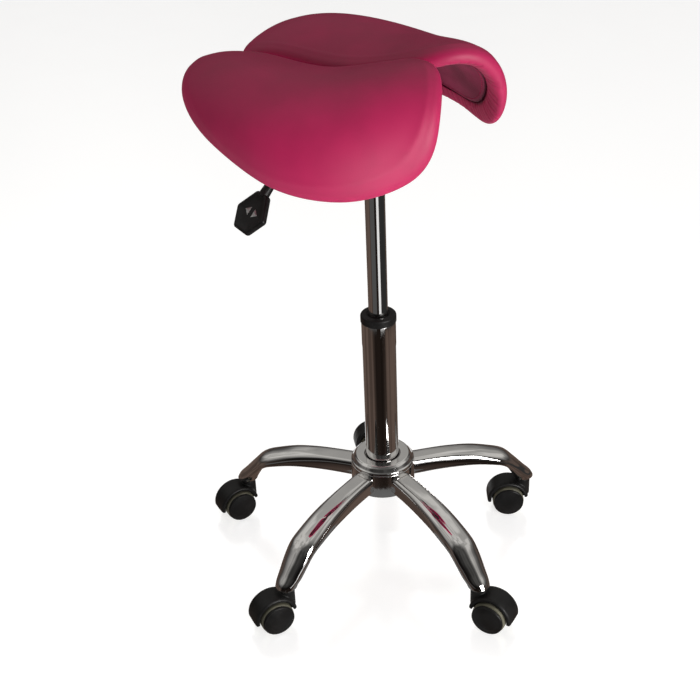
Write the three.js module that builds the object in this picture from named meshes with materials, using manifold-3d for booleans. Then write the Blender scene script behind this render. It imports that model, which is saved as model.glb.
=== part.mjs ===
// Adjustable swivel stool: a split saddle seat on a gas column, over a five-star base with
// twin-wheel casters. Millimetres, +Z up. The sitter faces -Y, and the floor is z = 0.
import * as THREE from 'three';
import { mergeVertices } from 'three/addons/utils/BufferGeometryUtils.js';
import Module from 'manifold-3d';

const wasm = await Module();
wasm.setup();

// ---------------------------------------------------------------- driving dimensions

const touch = 0.3; // gap left between two faces that meet
const fit = 0.4; // gap all round a pin or a shaft in its hole

const padLength = 370; // one seat half, front to back along its skin
const padReach = 253; // one seat half, from the gap out to the wing's edge along its skin
const padThickness = 30;
const gapToSheet = 22; // from the stool's middle plane to the sheet's origin line
const rimWidth = 26; // the rolled edge that frames the underside
const rimSlope = 1.5; // how much wider the recess is at its mouth than at its bottom
const recess = 12; // how far the padded rim stands below the pad's own underside
const shellThickness = 6.7;
const liningThickness = 1.7;
const bedding = 0.9; // between the pad and the board in its recess, whose facets follow one curve
const padFacets = 28;

// The saddle's middle sheet. Along the seat its height follows a polynomial, and across the seat
// it bends down by an angle that grows with the distance out. Distances are in these units, so the
// shape keeps its proportions when the pad's length or reach changes.
const saddle = {
  lengthUnit: padLength / 3.7,
  reachUnit: padReach / 2.53,
  height: 754,
  along: [0.225, 0.117, -0.092, -0.053],
  startAngle: -0.289,
  bend: [0.263, 0.896, 0.369],
  curl: [0.254, -0.438, -0.099],
};

// A seat half seen flat, as [forward, outward] shares of its length and reach. The first points
// run along the straight edge at the gap.
const padOutline = [
  [-0.108, 0],
  [0.2, 0],
  [0.305, 0.09],
  [0.373, 0.237],
  [0.386, 0.435],
  [0.316, 0.704],
  [0.162, 0.921],
  [-0.054, 1],
  [-0.308, 0.877],
  [-0.476, 0.652],
  [-0.584, 0.348],
  [-0.611, 0.119],
  [-0.554, 0.008],
  [-0.405, 0],
];
const padMiddle = [-0.108, 0.356];

const underPad = 7.6; // from the pad's lowest face at the middle down to the seat plate
const seatPlate = {
  thickness: 4,
  flat: 14,
  reach: 78,
  length: 125,
  centreY: 25,
  top: saddle.height - padThickness / 2 - underPad,
};
const plateRise = 8.53; // degrees, up towards the front
const wingRise = 13.3; // degrees, up towards each side
const lug = { thickness: 4, length: 28, below: 10 };
const seatScrew = { radius: 3, headRadius: 5.5, head: 3.5, length: 11, out: 62, spacing: 30, facets: 10 };

const tiltAxle = { radius: 4.9, height: seatPlate.top - 21.4, headRadius: 8, head: 3, facets: 14 };
const spring = { coilRadius: 7.5, wireRadius: 1.3, length: 38, turns: 5, wireSides: 5, stepsPerTurn: 8 };
const housing = {
  width: 64,
  length: 90,
  bottom: tiltAxle.height - 32,
  height: 24,
  wall: 3,
  socketWall: 5,
  socketDrop: 36,
};
const ear = { length: 24, rise: 16 };

const lever = {
  radius: 3.5,
  height: housing.bottom + 14,
  knee: 107.8,
  tip: 160,
  drop: 47.6,
  bend: 14,
  facets: 8,
};
const notch = { side: 1, below: 1.5, length: 30, out: 45 }; // the slot that a lever lifts in
const heightLeverAngle = 153.5;
const tiltLeverAngle = 26.5;
const heightLeverStart = -4;
const tiltLeverStart = 16;
const paddle = {
  length: 56,
  width: 62,
  thickness: 8,
  bevel: 2,
  centre: 183.6,
  rootShare: 0.42,
  endShare: 0.5,
  neckWall: 2.2,
  neckLength: 12,
};

const wheel = { radius: 25, width: 18, faceTaper: 3, capRadius: 15, capRise: 1.6, facets: 16 };
const tread = { innerEdge: 2.5, innerBevel: 2, shoulder: 6.5, shoulderDrop: 2.8, lip: 1, lipDepth: 0.4 };
const axle = { radius: 3, bite: 11.5, facets: 10 };
const stem = { radius: 5, flangeRadius: 8, flange: 1.2, depthInHood: 33, facets: 12 };
const hood = {
  wall: 5,
  clearance: 3,
  width: 34,
  bossRadius: 11.5,
  skirtAngle: 15,
  edge: 2.5,
  crown: 0.6,
  wheelSpace: 2,
  facets: 20,
  bossFacets: 16,
};
const trail = 24; // from the stem to the wheel axle, along the floor
const webWidth = 13.4; // the hood's middle wall, between the two wheels

const legCount = 5;
const legReach = 234.8; // from the column to a caster stem
const tipClearance = 14; // from the top of the wheels up to a leg's tip
const socketHeight = 2 * wheel.radius + tipClearance; // underside of a leg's tip
const socketDepth = 15;
const legDrop = 58; // how far a leg comes down from the hub to its tip
const legRootHeight = socketHeight + legDrop;
const firstLegAngle = -42.4;
const trailAngles = [121.5, 131.5, 151.5, 148.5, 271.5]; // how each caster has swung

const hub = {
  radius: 48.5,
  bottom: legRootHeight - 11,
  top: legRootHeight + 28,
  chamfer: 1.5,
  facets: 28,
};
const ring = {
  rimRadius: hub.radius - 0.5,
  faceRadius: hub.radius - 8,
  height: 13,
  tubeGap: 1.2,
  lipBevel: 1,
  lipHeight: 4,
  step: 1.8,
  facets: 28,
};

const tube = {
  radius: 25,
  wall: 1.9,
  top: 393,
  bottom: hub.bottom - 7,
  taperTop: hub.top + 20,
  taper: 1,
  floor: 3,
  facets: 20,
};
const bushing = { length: 63, flangeRadius: tube.radius + 1, flange: 12.2, dome: 2.5 };
const cylinder = {
  radius: 14,
  wall: 2,
  floor: 5,
  bottom: tube.top - 60,
  top: housing.bottom + housing.wall + 1,
  taperLength: 42,
  taper: 1,
  headLength: 40,
  facets: 20,
};
const rod = {
  radius: 5,
  bottom: tube.bottom - 5,
  pistonHeight: 12,
  pistonLift: 9,
  clipHeight: tube.bottom - 3,
  grooveDepth: 1,
  facets: 12,
};
const bearing = { radius: 14, height: 4.7, facets: 20 };
const buffer = { radius: 13, height: 11, facets: 20 };
const clip = { radius: 9, height: 1.4 };
const button = { radius: 4, rise: 6, depth: 12, length: 14, facets: 10 };

// A leg from the hub out to its tip. Each station holds its share of the reach and of the drop,
// how far its section leans over (degrees from upright), its crown, belly and half width, and how
// square its crown is (2 is an ellipse). The first one is inside the hub, which trims it.
const legStations = [
  { out: -0.04, drop: 0, lean: 0, crown: 24, belly: 1, half: 17, square: 5 },
  { out: 0.168, drop: 0, lean: 0, crown: 23, belly: 1, half: 17.5, square: 4.5 },
  { out: 0.345, drop: 0.017, lean: 2, crown: 22, belly: 1.5, half: 19, square: 3.5 },
  { out: 0.517, drop: 0.07, lean: 6, crown: 20.5, belly: 1.5, half: 20.5, square: 2.8 },
  { out: 0.662, drop: 0.172, lean: 15, crown: 19, belly: 2, half: 20.5, square: 2.4 },
  { out: 0.775, drop: 0.293, lean: 30, crown: 17, belly: 4, half: 20, square: 2.2 },
  { out: 0.856, drop: 0.5, lean: 52, crown: 14.5, belly: 8, half: 18.5, square: 2.1 },
  { out: 0.931, drop: 0.76, lean: 70, crown: 15, belly: 11, half: 17, square: 2 },
  { out: 0.98, drop: 0.9, lean: 82, crown: 15.5, belly: 15, half: 16.2, square: 2 },
  { out: 1, drop: 1, lean: 90, crown: 16, belly: 16, half: 16, square: 2 },
];

// ---------------------------------------------------------------- finishes

const chrome = { color: 0x8c8583, roughness: 0.08, metalness: 1 };
const steel = { color: 0xa9a9a9, roughness: 0.35, metalness: 1 };
const blackNylon = { color: 0x1b1b1d, roughness: 0.5, metalness: 0 };
const blackPaint = { color: 0x202022, roughness: 0.6, metalness: 0.2 };
const greyTread = { color: 0x6d6c60, roughness: 0.6, metalness: 0 };
const rubber = { color: 0x151515, roughness: 0.8, metalness: 0 };
const vinyl = { color: 0xa61e54, roughness: 0.42, metalness: 0 };
const liningCloth = { color: 0x6a2a46, roughness: 0.8, metalness: 0 };
const shellPlastic = { color: 0x2a2a2a, roughness: 0.7, metalness: 0 };

// ---------------------------------------------------------------- geometry helpers

const radians = THREE.MathUtils.degToRad;

// Shared vertices, no slivers, and faces that point out.
function closed(source) {
  const bare = source.clone();
  bare.deleteAttribute('normal');
  bare.deleteAttribute('uv');
  const merged = mergeVertices(bare, 1e-4);
  const index = merged.index.array;
  const faces = [];
  let volume = 0;
  const [a, b, c] = [new THREE.Vector3(), new THREE.Vector3(), new THREE.Vector3()];
  for (let i = 0; i < index.length; i += 3) {
    const [p, q, r] = [index[i], index[i + 1], index[i + 2]];
    if (p === q || q === r || r === p) continue;
    faces.push(p, q, r);
    a.fromBufferAttribute(merged.attributes.position, p);
    b.fromBufferAttribute(merged.attributes.position, q);
    c.fromBufferAttribute(merged.attributes.position, r);
    volume += a.dot(b.cross(c));
  }
  merged.setIndex(volume < 0 ? faces.reverse() : faces);
  return merged;
}

function toSolid(geometry) {
  const ready = closed(geometry);
  return new wasm.Manifold(new wasm.Mesh({
    numProp: 3,
    vertProperties: new Float32Array(ready.attributes.position.array),
    triVerts: new Uint32Array(ready.index.array),
  }));
}

function toGeometry(solid) {
  const mesh = solid.getMesh();
  const geometry = new THREE.BufferGeometry();
  geometry.setAttribute('position', new THREE.BufferAttribute(mesh.vertProperties, 3));
  geometry.setIndex(new THREE.BufferAttribute(mesh.triVerts, 1));
  return geometry;
}

function joined(...geometries) {
  return toGeometry(geometries.map(toSolid).reduce((whole, next) => whole.add(next)));
}

function cut(geometry, ...tools) {
  return toGeometry(tools.map(toSolid).reduce((whole, next) => whole.subtract(next), toSolid(geometry)));
}

// A body turned about Z from [radius, height] points.
function turned(profile, facets) {
  const points = profile.map(([r, z]) => new THREE.Vector2(r, z));
  return new THREE.LatheGeometry(points, facets).rotateX(Math.PI / 2);
}

function ringProfile(inner, outer, bottom, top) {
  return [[inner, bottom], [outer, bottom], [outer, top], [inner, top], [inner, bottom]];
}

function pin(radius, bottom, top, facets) {
  return turned([[0, bottom], [radius, bottom], [radius, top], [0, top]], facets);
}

function block(width, length, height, x, y, bottom) {
  return new THREE.BoxGeometry(width, length, height).translate(x, y, bottom + height / 2);
}

// A closed skin over a row of rings with the same number of points, with a fan at each end.
function skin(rings, firstPoint, lastPoint) {
  const count = rings[0].length;
  const points = [firstPoint, ...rings.flat(), lastPoint];
  const last = points.length - 1;
  const faces = [];
  for (let i = 0; i < count; i++) {
    const j = (i + 1) % count;
    faces.push(0, 1 + j, 1 + i);
    for (let k = 0; k + 1 < rings.length; k++) {
      const a = 1 + k * count + i;
      const b = 1 + k * count + j;
      faces.push(a, b, b + count, a, b + count, a + count);
    }
    faces.push(last, last - count + i, last - count + j);
  }
  return new THREE.BufferGeometry().setFromPoints(points).setIndex(faces);
}

function middle(points) {
  const sum = points.reduce((total, point) => total.add(point), new THREE.Vector3());
  return sum.divideScalar(points.length);
}

const stool = new THREE.Group();

function addPiece(name, geometry, finish, parent = stool) {
  const mesh = new THREE.Mesh(closed(geometry), new THREE.MeshStandardMaterial(finish));
  mesh.name = name;
  parent.add(mesh);
}

// ---------------------------------------------------------------- base

function legAngle(number) {
  return firstLegAngle + (360 / legCount) * number;
}

// The half outline of a section: a crown from one side over to the other, then the belly back.
function legRing(station, root) {
  const crownSteps = 8;
  const bellySteps = 4;
  const outAt = root + (legReach - root) * station.out;
  const heightAt = legRootHeight + (socketHeight - legRootHeight) * station.drop;
  const lean = radians(station.lean);
  const points = [];
  const addPoint = (across, rise) => {
    const out = outAt + Math.sin(lean) * rise;
    points.push(new THREE.Vector3(out, across, heightAt + Math.cos(lean) * rise));
  };
  for (let i = 0; i <= crownSteps; i++) {
    const turn = (Math.PI * i) / crownSteps;
    const power = 2 / station.square;
    const across = Math.sign(Math.cos(turn)) * Math.abs(Math.cos(turn)) ** power;
    addPoint(across * station.half, Math.sin(turn) ** power * station.crown);
  }
  for (let i = 1; i < bellySteps; i++) {
    const turn = (Math.PI * i) / bellySteps;
    addPoint(-Math.cos(turn) * station.half, -Math.sin(turn) * station.belly);
  }
  return points;
}

function legGeometry() {
  const root = hub.radius + touch;
  const rings = legStations.map((station) => legRing(station, root));
  const tip = new THREE.Vector3(legReach, 0, socketHeight);
  const socket = pin(stem.radius + fit, 0, socketHeight + socketDepth, stem.facets);
  const hubSpace = pin(root, socketHeight, 2 * hub.top, 2 * hub.facets);
  return cut(skin(rings, middle(rings[0]), tip), socket.translate(legReach, 0, 0), hubSpace);
}

// The column's outside radius at a height: straight, with a slight taper into the hub.
function tubeRadius(height) {
  const below = Math.max(0, tube.taperTop - height) / (tube.taperTop - tube.bottom);
  return tube.radius - tube.taper * below;
}

function addBase() {
  const sleeve = [
    [tubeRadius(hub.bottom) + touch, hub.bottom],
    [hub.radius - hub.chamfer, hub.bottom],
    [hub.radius, hub.bottom + hub.chamfer],
    [hub.radius, hub.top],
    [tubeRadius(hub.top) + touch, hub.top],
    [tubeRadius(hub.bottom) + touch, hub.bottom],
  ];
  addPiece('hub_sleeve', turned(sleeve, hub.facets), chrome);

  const low = hub.top + touch;
  const high = low + ring.height;
  const inside = tube.radius + ring.tubeGap;
  const collar = [
    [inside, low],
    [ring.rimRadius - ring.lipBevel, low],
    [ring.rimRadius, low + 1.5 * ring.lipBevel],
    [ring.rimRadius, low + ring.lipHeight],
    [ring.rimRadius - ring.step, low + ring.height / 2],
    [ring.faceRadius + 2, high - 3.5],
    [ring.faceRadius, high - 0.6],
    [ring.faceRadius - 2, high],
    [inside, high],
    [inside, low],
  ];
  addPiece('hub_ring', turned(collar, ring.facets), chrome);

  for (let i = 0; i < legCount; i++) {
    const arm = new THREE.Group();
    arm.rotation.z = radians(legAngle(i));
    stool.add(arm);
    addPiece(`leg_${i + 1}`, legGeometry(), chrome, arm);
  }
}

// ---------------------------------------------------------------- casters

// Made with the stem on Z and the wheels trailing along +X.
function hoodGeometry() {
  const inner = wheel.radius + hood.clearance;
  const outer = inner + hood.wall;
  const half = hood.width / 2;
  const onAxle = (geometry) => geometry.translate(trail, 0, wheel.radius);
  const turnedAcross = (profile) => onAxle(
    new THREE.LatheGeometry(profile.map(([r, y]) => new THREE.Vector2(r, y)), hood.facets),
  );
  const fender = turnedAcross([
    [inner, -half],
    [outer - hood.edge, -half],
    [outer - hood.crown, -half + hood.edge],
    [outer, 0],
    [outer - hood.crown, half - hood.edge],
    [outer - hood.edge, half],
    [inner, half],
    [inner, -half],
  ]);
  const webEdge = inner + 1;
  const web = turnedAcross([
    [0, -webWidth / 2],
    [webEdge, -webWidth / 2],
    [webEdge, webWidth / 2],
    [0, webWidth / 2],
  ]);
  const bossTop = socketHeight - 2 * touch - stem.flange;
  const boss = pin(hood.bossRadius, wheel.radius, bossTop, hood.bossFacets);
  const space = wheel.width + hood.wheelSpace;
  const spaceRadius = inner - 0.5;
  const wheelSpaces = [-1, 1].map((side) => onAxle(
    new THREE.CylinderGeometry(spaceRadius, spaceRadius, space, hood.facets)
      .translate(0, (side * (webWidth + space)) / 2, 0),
  ));
  const skirtHeight = wheel.radius - inner * Math.sin(radians(hood.skirtAngle));
  const below = block(6 * inner, 2 * hood.width, 2 * inner, 0, 0, skirtHeight - 2 * inner);
  const stemHole = pin(stem.radius + fit, bossTop - stem.depthInHood, bossTop + 1, stem.facets);
  const axleBore = axle.radius + fit;
  const axleHole = onAxle(new THREE.CylinderGeometry(axleBore, axleBore, hood.width, axle.facets));
  return cut(joined(fender, web, boss), ...wheelSpaces, below, stemHole, axleHole);
}

function stemGeometry() {
  const flangeTop = socketHeight - touch;
  const flangeBottom = flangeTop - stem.flange;
  const bossTop = flangeBottom - touch;
  return turned([
    [0, bossTop - stem.depthInHood + touch],
    [stem.radius, bossTop - stem.depthInHood + touch],
    [stem.radius, flangeBottom],
    [stem.flangeRadius, flangeBottom],
    [stem.flangeRadius, flangeTop],
    [stem.radius, flangeTop],
    [stem.radius, socketHeight + socketDepth - touch],
    [0, socketHeight + socketDepth - touch],
  ], stem.facets);
}

// A wheel stands on one of its flats, so its corners lie a little outside its radius.
function wheelGeometry(side) {
  const corner = wheel.radius / Math.cos(Math.PI / wheel.facets);
  const inner = webWidth / 2 + touch;
  const outer = inner + wheel.width;
  const bore = axle.radius + fit;
  const boreEnd = webWidth / 2 + axle.bite + fit;
  const profile = [
    [0, boreEnd],
    [bore, boreEnd],
    [bore, inner],
    [corner - tread.innerEdge, inner],
    [corner, inner + tread.innerBevel],
    [corner, outer - tread.shoulder],
    [corner - tread.shoulderDrop, outer - wheel.faceTaper],
    [wheel.capRadius + tread.lip, outer - tread.lip],
    [wheel.capRadius - tread.lip / 2, outer - tread.lipDepth],
    [0, outer - tread.lipDepth + wheel.capRise],
  ];
  const points = profile.map(([r, y]) => new THREE.Vector2(r, side * y));
  return new THREE.LatheGeometry(points, wheel.facets)
    .rotateY(Math.PI / wheel.facets)
    .translate(trail, 0, wheel.radius);
}

function addCasters() {
  const axleLength = webWidth + 2 * axle.bite;
  for (let i = 0; i < legCount; i++) {
    const caster = new THREE.Group();
    const angle = radians(legAngle(i));
    caster.position.set(legReach * Math.cos(angle), legReach * Math.sin(angle), 0);
    caster.rotation.z = radians(trailAngles[i]);
    stool.add(caster);
    const name = `caster_${i + 1}`;
    addPiece(`${name}_stem`, stemGeometry(), steel, caster);
    addPiece(`${name}_hood`, hoodGeometry(), blackNylon, caster);
    const pinBody = new THREE.CylinderGeometry(axle.radius, axle.radius, axleLength, axle.facets);
    addPiece(`${name}_axle`, pinBody.translate(trail, 0, wheel.radius), steel, caster);
    addPiece(`${name}_wheel_left`, wheelGeometry(1), greyTread, caster);
    addPiece(`${name}_wheel_right`, wheelGeometry(-1), greyTread, caster);
  }
}

// ---------------------------------------------------------------- column

function addColumn() {
  const plateTop = tube.bottom + tube.floor;
  const rodHole = rod.radius + fit;
  const bore = tube.radius - tube.wall;
  const tubeProfile = [
    [rodHole, tube.bottom],
    [tubeRadius(tube.bottom), tube.bottom],
    [tube.radius, tube.taperTop],
    [tube.radius, tube.top - touch],
    [bore, tube.top - touch],
    [bore, tube.taperTop],
    [tubeRadius(plateTop) - tube.wall, plateTop],
    [rodHole, plateTop],
    [rodHole, tube.bottom],
  ];
  addPiece('column_tube', turned(tubeProfile, tube.facets), chrome);

  const guideBore = cylinder.radius + fit;
  const flangeTop = tube.top + bushing.flange;
  const guide = [
    [guideBore, tube.top - bushing.length],
    [bore - touch, tube.top - bushing.length],
    [bore - touch, tube.top],
    [bushing.flangeRadius, tube.top],
    [bushing.flangeRadius, flangeTop - 2 * bushing.dome],
    [bushing.flangeRadius - bushing.dome, flangeTop - bushing.dome * 0.6],
    [bushing.flangeRadius - 3 * bushing.dome, flangeTop],
    [guideBore, flangeTop],
    [guideBore, tube.top - bushing.length],
  ];
  addPiece('guide_bushing', turned(guide, tube.facets), blackNylon);

  const cylinderFloor = cylinder.bottom + cylinder.floor;
  const pistonTop = cylinderFloor + rod.pistonLift + rod.pistonHeight;
  const taperStart = cylinder.top - cylinder.taperLength;
  const cavityTop = taperStart - cylinder.headLength;
  const buttonBore = button.radius + touch;
  const cylinderProfile = [
    [0, cavityTop],
    [cylinder.radius - cylinder.wall, cavityTop],
    [cylinder.radius - cylinder.wall, cylinderFloor],
    [rodHole, cylinderFloor],
    [rodHole, cylinder.bottom],
    [cylinder.radius, cylinder.bottom],
    [cylinder.radius, taperStart],
    [cylinder.radius - cylinder.taper, cylinder.top],
    [buttonBore, cylinder.top],
    [buttonBore, cylinder.top - button.depth - touch],
    [0, cylinder.top - button.depth - touch],
  ];
  addPiece('gas_cylinder', turned(cylinderProfile, cylinder.facets), chrome);

  const pistonRadius = cylinder.radius - cylinder.wall - fit;
  const grooveRadius = rod.radius - rod.grooveDepth;
  const grooveTop = rod.clipHeight + clip.height + 2 * touch;
  addPiece('piston_rod', turned([
    [0, rod.bottom],
    [rod.radius, rod.bottom],
    [rod.radius, rod.clipHeight],
    [grooveRadius, rod.clipHeight],
    [grooveRadius, grooveTop],
    [rod.radius, grooveTop],
    [rod.radius, pistonTop - rod.pistonHeight],
    [pistonRadius, pistonTop - rod.pistonHeight],
    [pistonRadius, pistonTop],
    [0, pistonTop],
  ], rod.facets), steel);

  const clipBottom = rod.clipHeight + touch;
  addPiece('retaining_clip', turned(
    ringProfile(grooveRadius + touch, clip.radius, clipBottom, clipBottom + clip.height),
    rod.facets,
  ), steel);

  const bearingBottom = plateTop + touch;
  const bearingTop = bearingBottom + bearing.height;
  addPiece('thrust_bearing', turned(
    ringProfile(rodHole, bearing.radius, bearingBottom, bearingTop),
    bearing.facets,
  ), steel);
  const bufferBottom = bearingTop + touch;
  addPiece('buffer_ring', turned(
    ringProfile(rodHole, buffer.radius, bufferBottom, bufferBottom + buffer.height),
    buffer.facets,
  ), rubber);
  addPiece('release_button', pin(
    button.radius,
    cylinder.top + button.rise - button.length,
    cylinder.top + button.rise,
    button.facets,
  ), steel);
}

// ---------------------------------------------------------------- tilt mechanism and levers

function acrossPin(radius, fromX, toX, height, facets) {
  return pin(radius, fromX, toX, facets).rotateY(Math.PI / 2).translate(0, 0, height);
}

function axleHole() {
  const { radius, height, facets } = tiltAxle;
  return acrossPin(radius + fit, -housing.width, housing.width, height, facets);
}

function addHousing() {
  const outside = block(housing.width, housing.length, housing.height, 0, 0, housing.bottom);
  const innerWidth = housing.width - 2 * housing.wall;
  const innerLength = housing.length - 2 * housing.wall;
  const cavity = block(innerWidth, innerLength, housing.height, 0, 0, housing.bottom + housing.wall);
  const socketBottom = housing.bottom - housing.socketDrop;
  const socketRadius = cylinder.radius + housing.socketWall;
  const socket = pin(socketRadius, socketBottom, housing.bottom + 1, cylinder.facets);
  const boreTop = housing.bottom + housing.wall + 1;
  const taperStart = cylinder.top - cylinder.taperLength;
  const slope = cylinder.taper / cylinder.taperLength;
  const boreAt = (height) => cylinder.radius + touch - slope * (height - taperStart);
  const bore = turned([
    [0, socketBottom - 1],
    [boreAt(socketBottom - 1), socketBottom - 1],
    [boreAt(boreTop), boreTop],
    [0, boreTop],
  ], cylinder.facets);
  const housingTop = housing.bottom + housing.height;
  const ears = [-1, 1].map((side) => block(
    housing.wall,
    ear.length,
    ear.rise + 1,
    (side * (housing.width - housing.wall)) / 2,
    0,
    housingTop - 1,
  ));
  const notchWidth = 2 * (lever.radius + notch.side);
  const notchBottom = lever.height - lever.radius - notch.below;
  const notches = [heightLeverAngle, tiltLeverAngle].map((angle) => {
    const slot = block(notch.length, notchWidth, housing.height, notch.out, 0, notchBottom);
    return slot.rotateZ(radians(angle));
  });
  const body = joined(cut(outside, cavity), socket, ...ears);
  addPiece('tilt_housing', cut(body, bore, axleHole(), ...notches), blackPaint);
}

function addTiltAxle() {
  const end = housing.width / 2 + fit + lug.thickness + fit;
  const { radius, headRadius, head, height, facets } = tiltAxle;
  const profile = [
    [0, -end - head],
    [radius, -end - head],
    [radius, end],
    [headRadius, end],
    [headRadius, end + head],
    [0, end + head],
  ];
  const body = turned(profile, facets).rotateY(Math.PI / 2).translate(0, 0, height);
  addPiece('tilt_axle', body, steel);
}

class Coil extends THREE.Curve {
  getPoint(t, target = new THREE.Vector3()) {
    const turn = 2 * Math.PI * spring.turns * t;
    return target.set(
      spring.length * (t - 0.5),
      spring.coilRadius * Math.cos(turn),
      tiltAxle.height + spring.coilRadius * Math.sin(turn),
    );
  }
}

function wireShape(radius, sides) {
  const points = [];
  for (let i = 0; i < sides; i++) {
    const turn = (2 * Math.PI * i) / sides;
    points.push(new THREE.Vector2(radius * Math.cos(turn), radius * Math.sin(turn)));
  }
  return new THREE.Shape(points);
}

function addTiltSpring() {
  const wire = new THREE.ExtrudeGeometry(wireShape(spring.wireRadius, spring.wireSides), {
    extrudePath: new Coil(),
    steps: spring.turns * spring.stepsPerTurn,
  });
  addPiece('tilt_spring', wire, steel);
}

// The plate's own frame: its upper flat is z = 0, rising towards the front by plateRise.
function onPlate() {
  return new THREE.Matrix4().makeTranslation(0, seatPlate.centreY, seatPlate.top)
    .multiply(new THREE.Matrix4().makeRotationX(-radians(plateRise)));
}

// A seat screw's own frame: its hole's axis is Z, square to the wing it passes through.
function onWing(side, along) {
  const rise = Math.tan(radians(wingRise)) * (seatScrew.out - seatPlate.flat);
  return onPlate()
    .multiply(new THREE.Matrix4().makeTranslation(side * seatScrew.out, along, rise))
    .multiply(new THREE.Matrix4().makeRotationY(-side * radians(wingRise)));
}

function screwHole(side, along) {
  const hole = pin(seatScrew.radius + fit, -padThickness, padThickness, seatScrew.facets);
  return hole.applyMatrix4(onWing(side, along));
}

const screwPlaces = [-1, 0, 1].map((step) => step * seatScrew.spacing);

function addSeatPlate() {
  const wing = seatPlate.reach - seatPlate.flat;
  const rise = Math.tan(radians(wingRise)) * wing;
  const thickness = seatPlate.thickness;
  const section = new THREE.Shape([
    new THREE.Vector2(-seatPlate.reach, rise),
    new THREE.Vector2(-seatPlate.reach, rise - thickness),
    new THREE.Vector2(-seatPlate.flat, -thickness),
    new THREE.Vector2(seatPlate.flat, -thickness),
    new THREE.Vector2(seatPlate.reach, rise - thickness),
    new THREE.Vector2(seatPlate.reach, rise),
    new THREE.Vector2(seatPlate.flat, 0),
    new THREE.Vector2(-seatPlate.flat, 0),
  ]);
  const plate = new THREE.ExtrudeGeometry(section, { depth: seatPlate.length, bevelEnabled: false })
    .rotateX(Math.PI / 2)
    .translate(0, seatPlate.length / 2, 0)
    .applyMatrix4(onPlate());
  const lugBottom = tiltAxle.height - lug.below;
  const lugMiddle = housing.width / 2 + fit + lug.thickness / 2;
  const lugRise = Math.tan(radians(wingRise)) * (lugMiddle - seatPlate.flat);
  const lugTop = seatPlate.top + lugRise + 1;
  const lugs = [-1, 1].map((side) => block(
    lug.thickness,
    lug.length,
    lugTop - lugBottom,
    side * lugMiddle,
    0,
    lugBottom,
  ));
  const holes = [-1, 1].flatMap((side) => screwPlaces.map((along) => screwHole(side, along)));
  addPiece('seat_plate', cut(joined(plate, ...lugs), axleHole(), ...holes), blackPaint);
}

function addSeatScrews() {
  const under = -seatPlate.thickness / Math.cos(radians(wingRise)) - touch;
  const profile = [
    [0, under - seatScrew.head],
    [seatScrew.headRadius, under - seatScrew.head],
    [seatScrew.headRadius, under],
    [seatScrew.radius, under],
    [seatScrew.radius, seatScrew.length],
    [0, seatScrew.length],
  ];
  for (const [side, half] of [[1, 'left'], [-1, 'right']]) {
    screwPlaces.forEach((along, i) => {
      const screw = turned(profile, seatScrew.facets).applyMatrix4(onWing(side, along));
      addPiece(`seat_screw_${half}_${i + 1}`, screw, steel);
    });
  }
}

// A lever lies in the XZ plane here: level from inside the housing to its knee, then down to its
// paddle. Its group turns it about the column.
function leverPath(start) {
  const slope = radians(lever.drop);
  const { bend } = lever;
  const knee = new THREE.Vector3(lever.knee, 0, lever.height);
  const down = new THREE.Vector3(Math.cos(slope), 0, -Math.sin(slope));
  const into = knee.clone().setX(lever.knee - bend);
  const out = knee.clone().addScaledVector(down, bend);
  const tip = knee.clone().addScaledVector(down, (lever.tip - lever.knee) / Math.cos(slope));
  const path = new THREE.CurvePath();
  path.add(new THREE.LineCurve3(new THREE.Vector3(start, 0, lever.height), into));
  path.add(new THREE.QuadraticBezierCurve3(into, knee, out));
  path.add(new THREE.LineCurve3(out, tip));
  return path;
}

function paddleGeometry() {
  const slope = radians(lever.drop);
  const { length, width, thickness, bevel } = paddle;
  const half = length / 2 - bevel;
  const side = width / 2 - bevel;
  const outline = new THREE.Shape([
    new THREE.Vector2(-half, -side * paddle.rootShare),
    new THREE.Vector2(0, -side),
    new THREE.Vector2(half, -side * paddle.endShare),
    new THREE.Vector2(half, side * paddle.endShare),
    new THREE.Vector2(0, side),
    new THREE.Vector2(-half, side * paddle.rootShare),
  ]);
  const plate = new THREE.ExtrudeGeometry(outline, {
    depth: thickness - 2 * bevel,
    bevelThickness: bevel,
    bevelSize: bevel,
    bevelSegments: 1,
  }).translate(0, 0, bevel - thickness / 2);
  const neckRadius = lever.radius + paddle.neckWall;
  const neck = pin(neckRadius, -half - paddle.neckLength, -half + 4, lever.facets).rotateY(Math.PI / 2);
  const tipAlong = (lever.tip - paddle.centre) / Math.cos(slope);
  const socketRadius = lever.radius + touch;
  const socket = pin(socketRadius, -length, tipAlong + touch, lever.facets * 2).rotateY(Math.PI / 2);
  const drop = (paddle.centre - lever.knee) * Math.tan(slope);
  return cut(joined(plate, neck), socket)
    .rotateY(slope)
    .translate(paddle.centre, 0, lever.height - drop);
}

function addLever(name, angle, start) {
  const arm = new THREE.Group();
  arm.rotation.z = radians(angle);
  stool.add(arm);
  const bar = new THREE.ExtrudeGeometry(wireShape(lever.radius, lever.facets), {
    extrudePath: leverPath(start),
    steps: 14,
  });
  addPiece(`${name}_lever`, bar, blackPaint, arm);
  addPiece(`${name}_paddle`, paddleGeometry(), blackNylon, arm);
}

// ---------------------------------------------------------------- seat halves

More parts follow.
